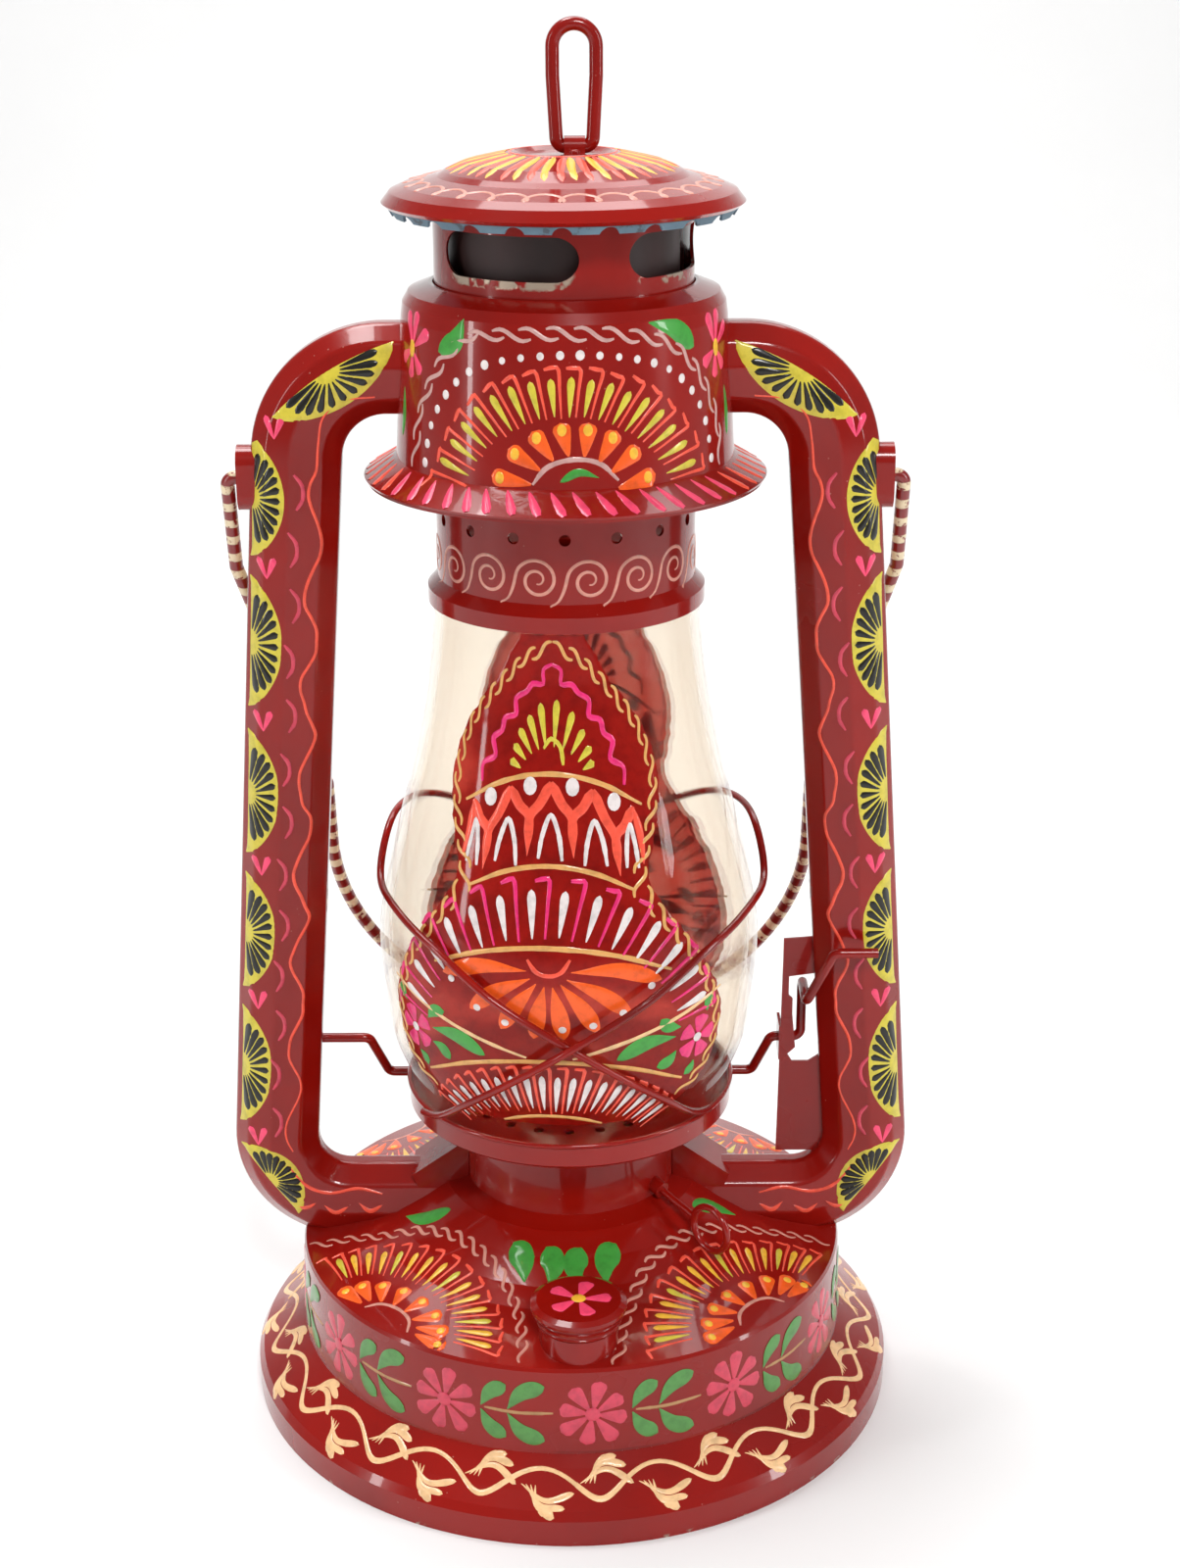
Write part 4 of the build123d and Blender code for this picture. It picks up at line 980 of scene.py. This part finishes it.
drum_front = Canvas("frame", ["drum_shell"], round_aim(0, drum_radius))
drum_back = Canvas("frame", ["drum_shell"], round_aim(180, drum_radius))
for side in (drum_front, drum_back):
    paint_drum(side)
brim = Canvas("frame", ["drum_shell"], top_aim(0))
for k in range(52):
    angle = 360 * k / 52 + wobble(k * 1.9, 2.0)
    front = abs((angle + 180) % 360 - 180) < 60 or abs((angle + 180) % 360 - 180) > 120
    shade = "pink" if front else "coral"
    line = [fan_point((0, 0), 180 - angle + 4.2 * t, 45.0 + wobble(k, 0.3) - 6.2 * t)
            for t in (0, 0.2, 0.5, 0.8, 1)]
    stroke(brim, shade, line, [1.3, 2.3, 2.0, 1.3, 0.4])
print("drum painted, missed", drum_front.missed + drum_back.missed + brim.missed)

# %% [markdown]
# ## Crown, cap and filler cap
# The crown has a line of running spirals, the cap a sunburst of wavy rays inside a rim of scrolls,
# and the filler cap one five-petalled flower.

# %% Crown spirals
crown_radius = 29.5
crown = Canvas("chimney", ["crown"], round_aim(0, crown_radius))
spirals = 16
pitch = 2 * math.pi * crown_radius / spirals
for k in range(spirals):
    u = (k + 0.46) * pitch
    height = 214.2 + wobble(k * 1.9, 0.9)
    turns = [(u - pitch * 0.74, height - 5.6), (u - pitch * 0.58, height - 4.4),
             (u - pitch * 0.47, height - 1.6)]
    for i in range(26):
        t = i / 25
        reach = 4.9 - 4.1 * t
        angle = math.radians(158 - 610 * t)
        turns.append((u + reach * math.cos(angle), height + reach * math.sin(angle)))
    line = smooth_line(turns, step=0.6)
    stroke(crown, "peach", line, [0.85 * (0.5 + 0.5 * min(1, 8 * t, 6 * (1 - t))) for t in shares(line)])
print("crown spirals", spirals, "missed", crown.missed)

# %% Cap rays and scrolls
cap_top = Canvas("chimney", ["cap"], top_aim(0))
rays = 46
for k in range(rays):
    angle = 360 * k / rays + wobble(k * 1.4, 2.2)
    colour = "yellow" if k % 2 else "coral"
    line = []
    for i in range(9):
        t = i / 8
        reach = 12.6 + (12.6 + wobble(k, 1.2)) * t
        sway = 2.6 * math.sin(2.6 * t + 0.6) * t
        line.append(fan_point((0, 0), 180 - angle + sway, reach))
    widths = [1.3 * (0.75 + 1.05 * (1 - i / 8) * math.sin(min(1, i / 2.2) * math.pi / 2) + 0.5 * (i / 8))
              for i in range(9)]
    widths[-1] = 0.25
    stroke(cap_top, colour, line, widths)
ring = [fan_point((0, 0), a, 11.7) for a in range(0, 361, 12)]
stroke(cap_top, "coral", ring, [0.7] * len(ring))
scrolls = 28
wave = []
for i in range(scrolls * 12 + 1):
    t = i / 12
    angle = 360 / scrolls * (t - 0.26 * math.sin(2 * math.pi * t))
    wave.append(fan_point((0, 0), 180 - angle, 32.6 + 2.1 * math.cos(2 * math.pi * t)))
stroke(cap_top, "peach", wave, [0.95] * len(wave))
print("cap rays", rays, "scrolls", scrolls, "missed", cap_top.missed)

# %% Filler cap flower
filler_low, filler_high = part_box("filler_cap")
filler_centre = ((filler_low.x + filler_high.x) / 2, (filler_low.y + filler_high.y) / 2)
filler_angle = math.degrees(math.atan2(filler_centre[0], -filler_centre[1]))
filler_reach = math.hypot(*filler_centre) / MM
filler_lid = Canvas("filler_cap", ["filler_cap"], top_aim(0, filler_angle, filler_reach))
flower(filler_lid, 5, (0, 0), 7.6, "pink", "yellow", 1.7, turn=18, width=4.2)
print("filler flower at", [round(c, 4) for c in filler_centre], "missed", filler_lid.missed)

# %% [markdown]
# ## The tubes
# Down the outer faces of each tube run lime almonds, each with a fan of black strokes, with small
# pink hearts between. The inner faces have one long coral line that wavers, with short curved
# dashes beside it. The back of the tubes is painted the same way.

# %% Tube almonds and vines
def almond(canvas, ends, width, belly, flat=0.5):
    """A leaf between two ends with one flat side, and black strokes fanned from that side; flat is 0.5
    for a straight side and 0 for two equal sides."""
    (u0, v0), (u1, v1) = ends
    size = math.hypot(u1 - u0, v1 - v0)
    du, dv = (u1 - u0) / size, (v1 - v0) / size
    nu, nv = dv * belly, -du * belly
    line = []
    widths = []
    for i in range(25):
        t = i / 24
        swell = math.sin(math.pi * t) ** 0.72
        out = width * swell * flat
        line.append((u0 + du * size * t + nu * out, v0 + dv * size * t + nv * out))
        widths.append(max(0.3, width * swell))
    stroke(canvas, "lime", line, widths, across=9)
    back = (0.5 - flat) * width
    mu, mv = (u0 + u1) / 2 - nu * back, (v0 + v1) / 2 - nv * back
    count = 11
    for k in range(count):
        share = 2 * k / (count - 1) - 1
        angle = share * 1.36
        along, out = math.sin(angle), math.cos(angle)
        far = (size * 0.385 * along, width * (0.86 - 0.60 * abs(share) ** 2.2))
        near = (size * 0.10 * along, width * 0.26 * out + width * 0.04)
        drop(canvas, "black", (mu + du * far[0] + nu * far[1], mv + dv * far[0] + nv * far[1]),
             (mu + du * near[0] + nu * near[1], mv + dv * near[0] + nv * near[1]), 1.75, layer=1)


def heart_mark(canvas, centre, size=2.0):
    u, v = centre
    for side in (-1, 1):
        drop(canvas, "pink", (u + side * size * 0.8, v + size), (u, v - size), size * 0.75)


def paint_tube(canvas):
    almond(canvas, [(37.6, 262.6), (65.0, 246.0)], 9.2, belly=1, flat=0.22)
    for top, foot in (((70.6, 241.0), (71.8, 213.6)), ((72.2, 209.0), (74.2, 177.6)),
                      ((74.6, 172.0), (76.6, 141.0)), ((77.0, 136.0), (79.2, 106.0)),
                      ((79.6, 101.0), (81.8, 69.6))):
        almond(canvas, [top, foot], 8.4, belly=1)
    almond(canvas, [(81.8, 63.4), (68.2, 44.6)], 8.0, belly=1)
    for u, v in ((64.8, 243.6), (68.0, 211.4), (70.6, 174.8), (72.8, 138.6), (75.4, 103.6), (77.2, 66.6)):
        heart_mark(canvas, (u, v), 2.5)
    slope = 0.078
    waver = [(42, 250.4), (49, 249.6), (53.6, 246.0), (55.0, 240.0)]
    for k in range(61):
        v = 234 - 172 * k / 60
        waver.append((55.6 + (234 - v) * slope + 1.7 * math.sin(k * math.pi / 4)
                      + wobble(k * 0.37, 0.8), v))
    plain_line(canvas, "coral", waver, 0.8)
    for k in range(13):
        v = 229 - k * 13.2
        u = 59.4 + (234 - v) * slope + (0.6 if k % 2 else -0.3)
        crescent = [(u + 1.2, v + 4.2), (u - 0.5, v + 1.6), (u - 0.5, v - 1.6), (u + 1.0, v - 4.0)]
        plain_line(canvas, "rose", crescent, 1.0)
    plain_line(canvas, "coral", [(71.2, 60), (66, 52.8), (60, 50.4), (53, 51.4), (47, 50.0)], 0.9)
    for u, v in ((66.6, 47.6), (58.6, 46.4), (50, 46.8)):
        leaf(canvas, "coral", (u + 3.0, v + 1.0), (u - 3.0, v + 0.4), 1.3, bend=0.3, blunt=0.5, across=5)


for facing in (1, -1):
    for hand, name in ((1, "right"), (-1, "left")):
        tube = Canvas("frame", ["tube_" + name, "elbow_" + name], side_aim(facing, hand))
        paint_tube(tube)
        print("tube", name, "front" if facing > 0 else "back", "missed", tube.missed)

# %% [markdown]
# ## Tank shoulder, wall and foot
# On the shoulder there is a fan each side of the filler, and four leaves in a row behind it. Round
# the wall go daisies between pairs of leaves, and round the foot a cream vine with feathered
# leaves that stand now above it and now below.

# %% Tank shoulder
def paint_fan(canvas):
    chain(canvas, "peach", [(-37, 10.4), (-30, 16), (-22.7, 20.4), (-13.3, 25), (-1.3, 26.8), (10.9, 26),
                            (19, 23.6), (27.5, 19), (36.6, 11.4)], link=4.4, swing=1.0, width=0.9)
    for k in range(16):
        angle = -68 + 136 / 15 * k
        top = fan_point((1, 0), angle, 32.5 + wobble(k * 1.3, 0.9), 0.69)
        foot = fan_point((1, 0), angle - 1, 21 + wobble(k * 2.1, 0.6), 0.58)
        side = fan_point((0, 0), angle - 90, 2.8)
        hook(canvas, "coral", top, foot, (side[0], side[1]), 1.05)
        if k < 15:
            drop(canvas, "yellow" if k % 4 else "lime", fan_point((1, 0), angle + 5, 30.6, 0.68),
                 fan_point((1, 0), angle + 4, 21.4, 0.6), 1.75)
    for k in range(8):
        angle = -80 + 160 / 7 * k
        outer, inner = fan_point((1.6, 0.4), angle, 18.6, 0.56), fan_point((1.6, 0.4), angle, 9.6, 0.44)
        drop(canvas, "orange", outer, inner, 4.4, across=7)
        dot(canvas, "yellow", (outer[0] * 0.76 + inner[0] * 0.24, outer[1] * 0.76 + inner[1] * 0.24), 1.0, 1)
    plain_line(canvas, "peach", [(-6.2, 0.6), (-3.4, 3.4), (1.6, 4.4), (6.4, 3.4), (9, 0.4)], 0.95)


for turn in (0, 180):
    for at_angle, spin in ((-44, 0), (44, 0)):
        fan = Canvas("frame", ["tank_dome"], top_aim(turn, at_angle, 64.6, spin))
        paint_fan(fan)
    row = Canvas("frame", ["tank_dome"], top_aim(turn))
    behind_filler = ((-14.5, -23, -0.10), (-6.5, -9.5, -0.16), (3, 4.5, 0.16), (11.5, 18.5, 0.14))
    for stem_angle, tip_angle, bend in behind_filler:
        stem = fan_point((0, 0), 180 - stem_angle, 43.2)
        tip = fan_point((0, 0), 180 - tip_angle, 34.6)
        leaf(row, "green", stem, tip, 6.4, bend=bend, blunt=0.66)
    for stem_angle, tip_angle in ((-74, -60), (74, 62)):
        leaf(row, "green", fan_point((0, 0), 180 - stem_angle, 42.5), fan_point((0, 0), 180 - tip_angle, 34),
             4.6, bend=-0.12)
    print("shoulder turned", turn, "missed", row.missed)

# %% Tank wall daisies
wall_radius = 67.5
wall = Canvas("frame", ["tank_wall"], round_aim(0, wall_radius))
daisies = 12
step = 2 * math.pi * wall_radius / daisies
for k in range(daisies):
    u = 5.2 + (k - 6) * step
    flower(wall, 8, (u, 26.9), 8.4, "rose", "rose", 1.8, turn=10, width=4.2)
    mid = u + step / 2
    plain_line(wall, "stem", [(mid - 7.6, 27.2), (mid, 26.8), (mid + 8.6, 27.2)], 0.95)
    for hand in (-1, 1):
        leaf(wall, "sage", (mid - 8.4, 27.2 + hand * 0.5), (mid - 2.4, 27.0 + hand * 6.9), 4.0,
             layer=1, bend=hand * 0.12, blunt=0.7)
        leaf(wall, "sage", (mid - 2.0, 27.0 + hand * 0.6), (mid + 6.6, 27.0 + hand * 7.2), 4.3,
             layer=1, bend=hand * 0.14, blunt=0.7)
print("wall daisies", daisies, "missed", wall.missed)

# %% Foot vine
foot = Canvas("frame", ["base_skirt"], top_aim(0))
waves = 17
vine_radius = 73.6
vine = []
for i in range(waves * 24 + 1):
    turn = 2 * math.pi * i / (waves * 24)
    ripple = math.sin(waves * turn)
    reach = vine_radius + 2.9 * ripple
    lean = turn + 0.018 * math.cos(waves * turn)
    vine.append((reach * math.sin(lean), -reach * math.cos(lean)))
stroke(foot, "cream", vine, [1.15 + 0.25 * math.sin(i * 0.26) for i in range(len(vine))])


def feather(canvas, angle, reach, outward):
    """Four curved lobes that spread from one root, as half a feathered leaf."""
    heading = math.radians(angle)
    root = (math.sin(heading) * reach, -math.cos(heading) * reach)
    around = (math.cos(heading), math.sin(heading))
    away = (math.sin(heading) * outward, -math.cos(heading) * outward)
    for lobe in range(4):
        spread = math.radians(2 + 19 * lobe)
        length = 12.4 - 2.1 * lobe
        along, out = length * math.cos(spread), length * math.sin(spread)
        start = (root[0] + around[0] * 1.1 * lobe, root[1] + around[1] * 1.1 * lobe)
        tip = (start[0] + around[0] * along + away[0] * out, start[1] + around[1] * along + away[1] * out)
        drop(canvas, "cream", tip, start, 1.65, bend=0.2 * outward)


for k in range(waves):
    full = 360 / waves
    feather(foot, full * (k + 0.585), vine_radius + 0.2, 1)
    feather(foot, full * (k + 0.085), vine_radius - 0.2, -1)
print("foot vine", waves, "waves, missed", foot.missed)

# %% [markdown]
# ## Hanging up the brushes
# Each pot of strokes becomes one mesh, rides on its own body, and takes its enamel's material.

# %% Pots into pieces
def short(body):
    return {"globe_carriage": "globe", "chimney": "chimney", "frame": "body", "filler_cap": "filler"}[body]


for (colour, body), (verts, faces) in sorted(pots.items()):
    name = f"enamel_{colour}_on_{short(body)}"
    mesh = bpy.data.meshes.new(name)
    mesh.from_pydata([tuple(v) for v in verts], [], faces)
    mesh.validate()
    for face in mesh.polygons:
        face.use_smooth = True
    mesh.materials.append(enamel_finish[colour])
    piece = bpy.data.objects.new(name, mesh)
    bpy.context.scene.collection.objects.link(piece)
    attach(piece, body)
print("enamel pieces", len(pots), "points", sum(len(v) for v, _ in pots.values()))
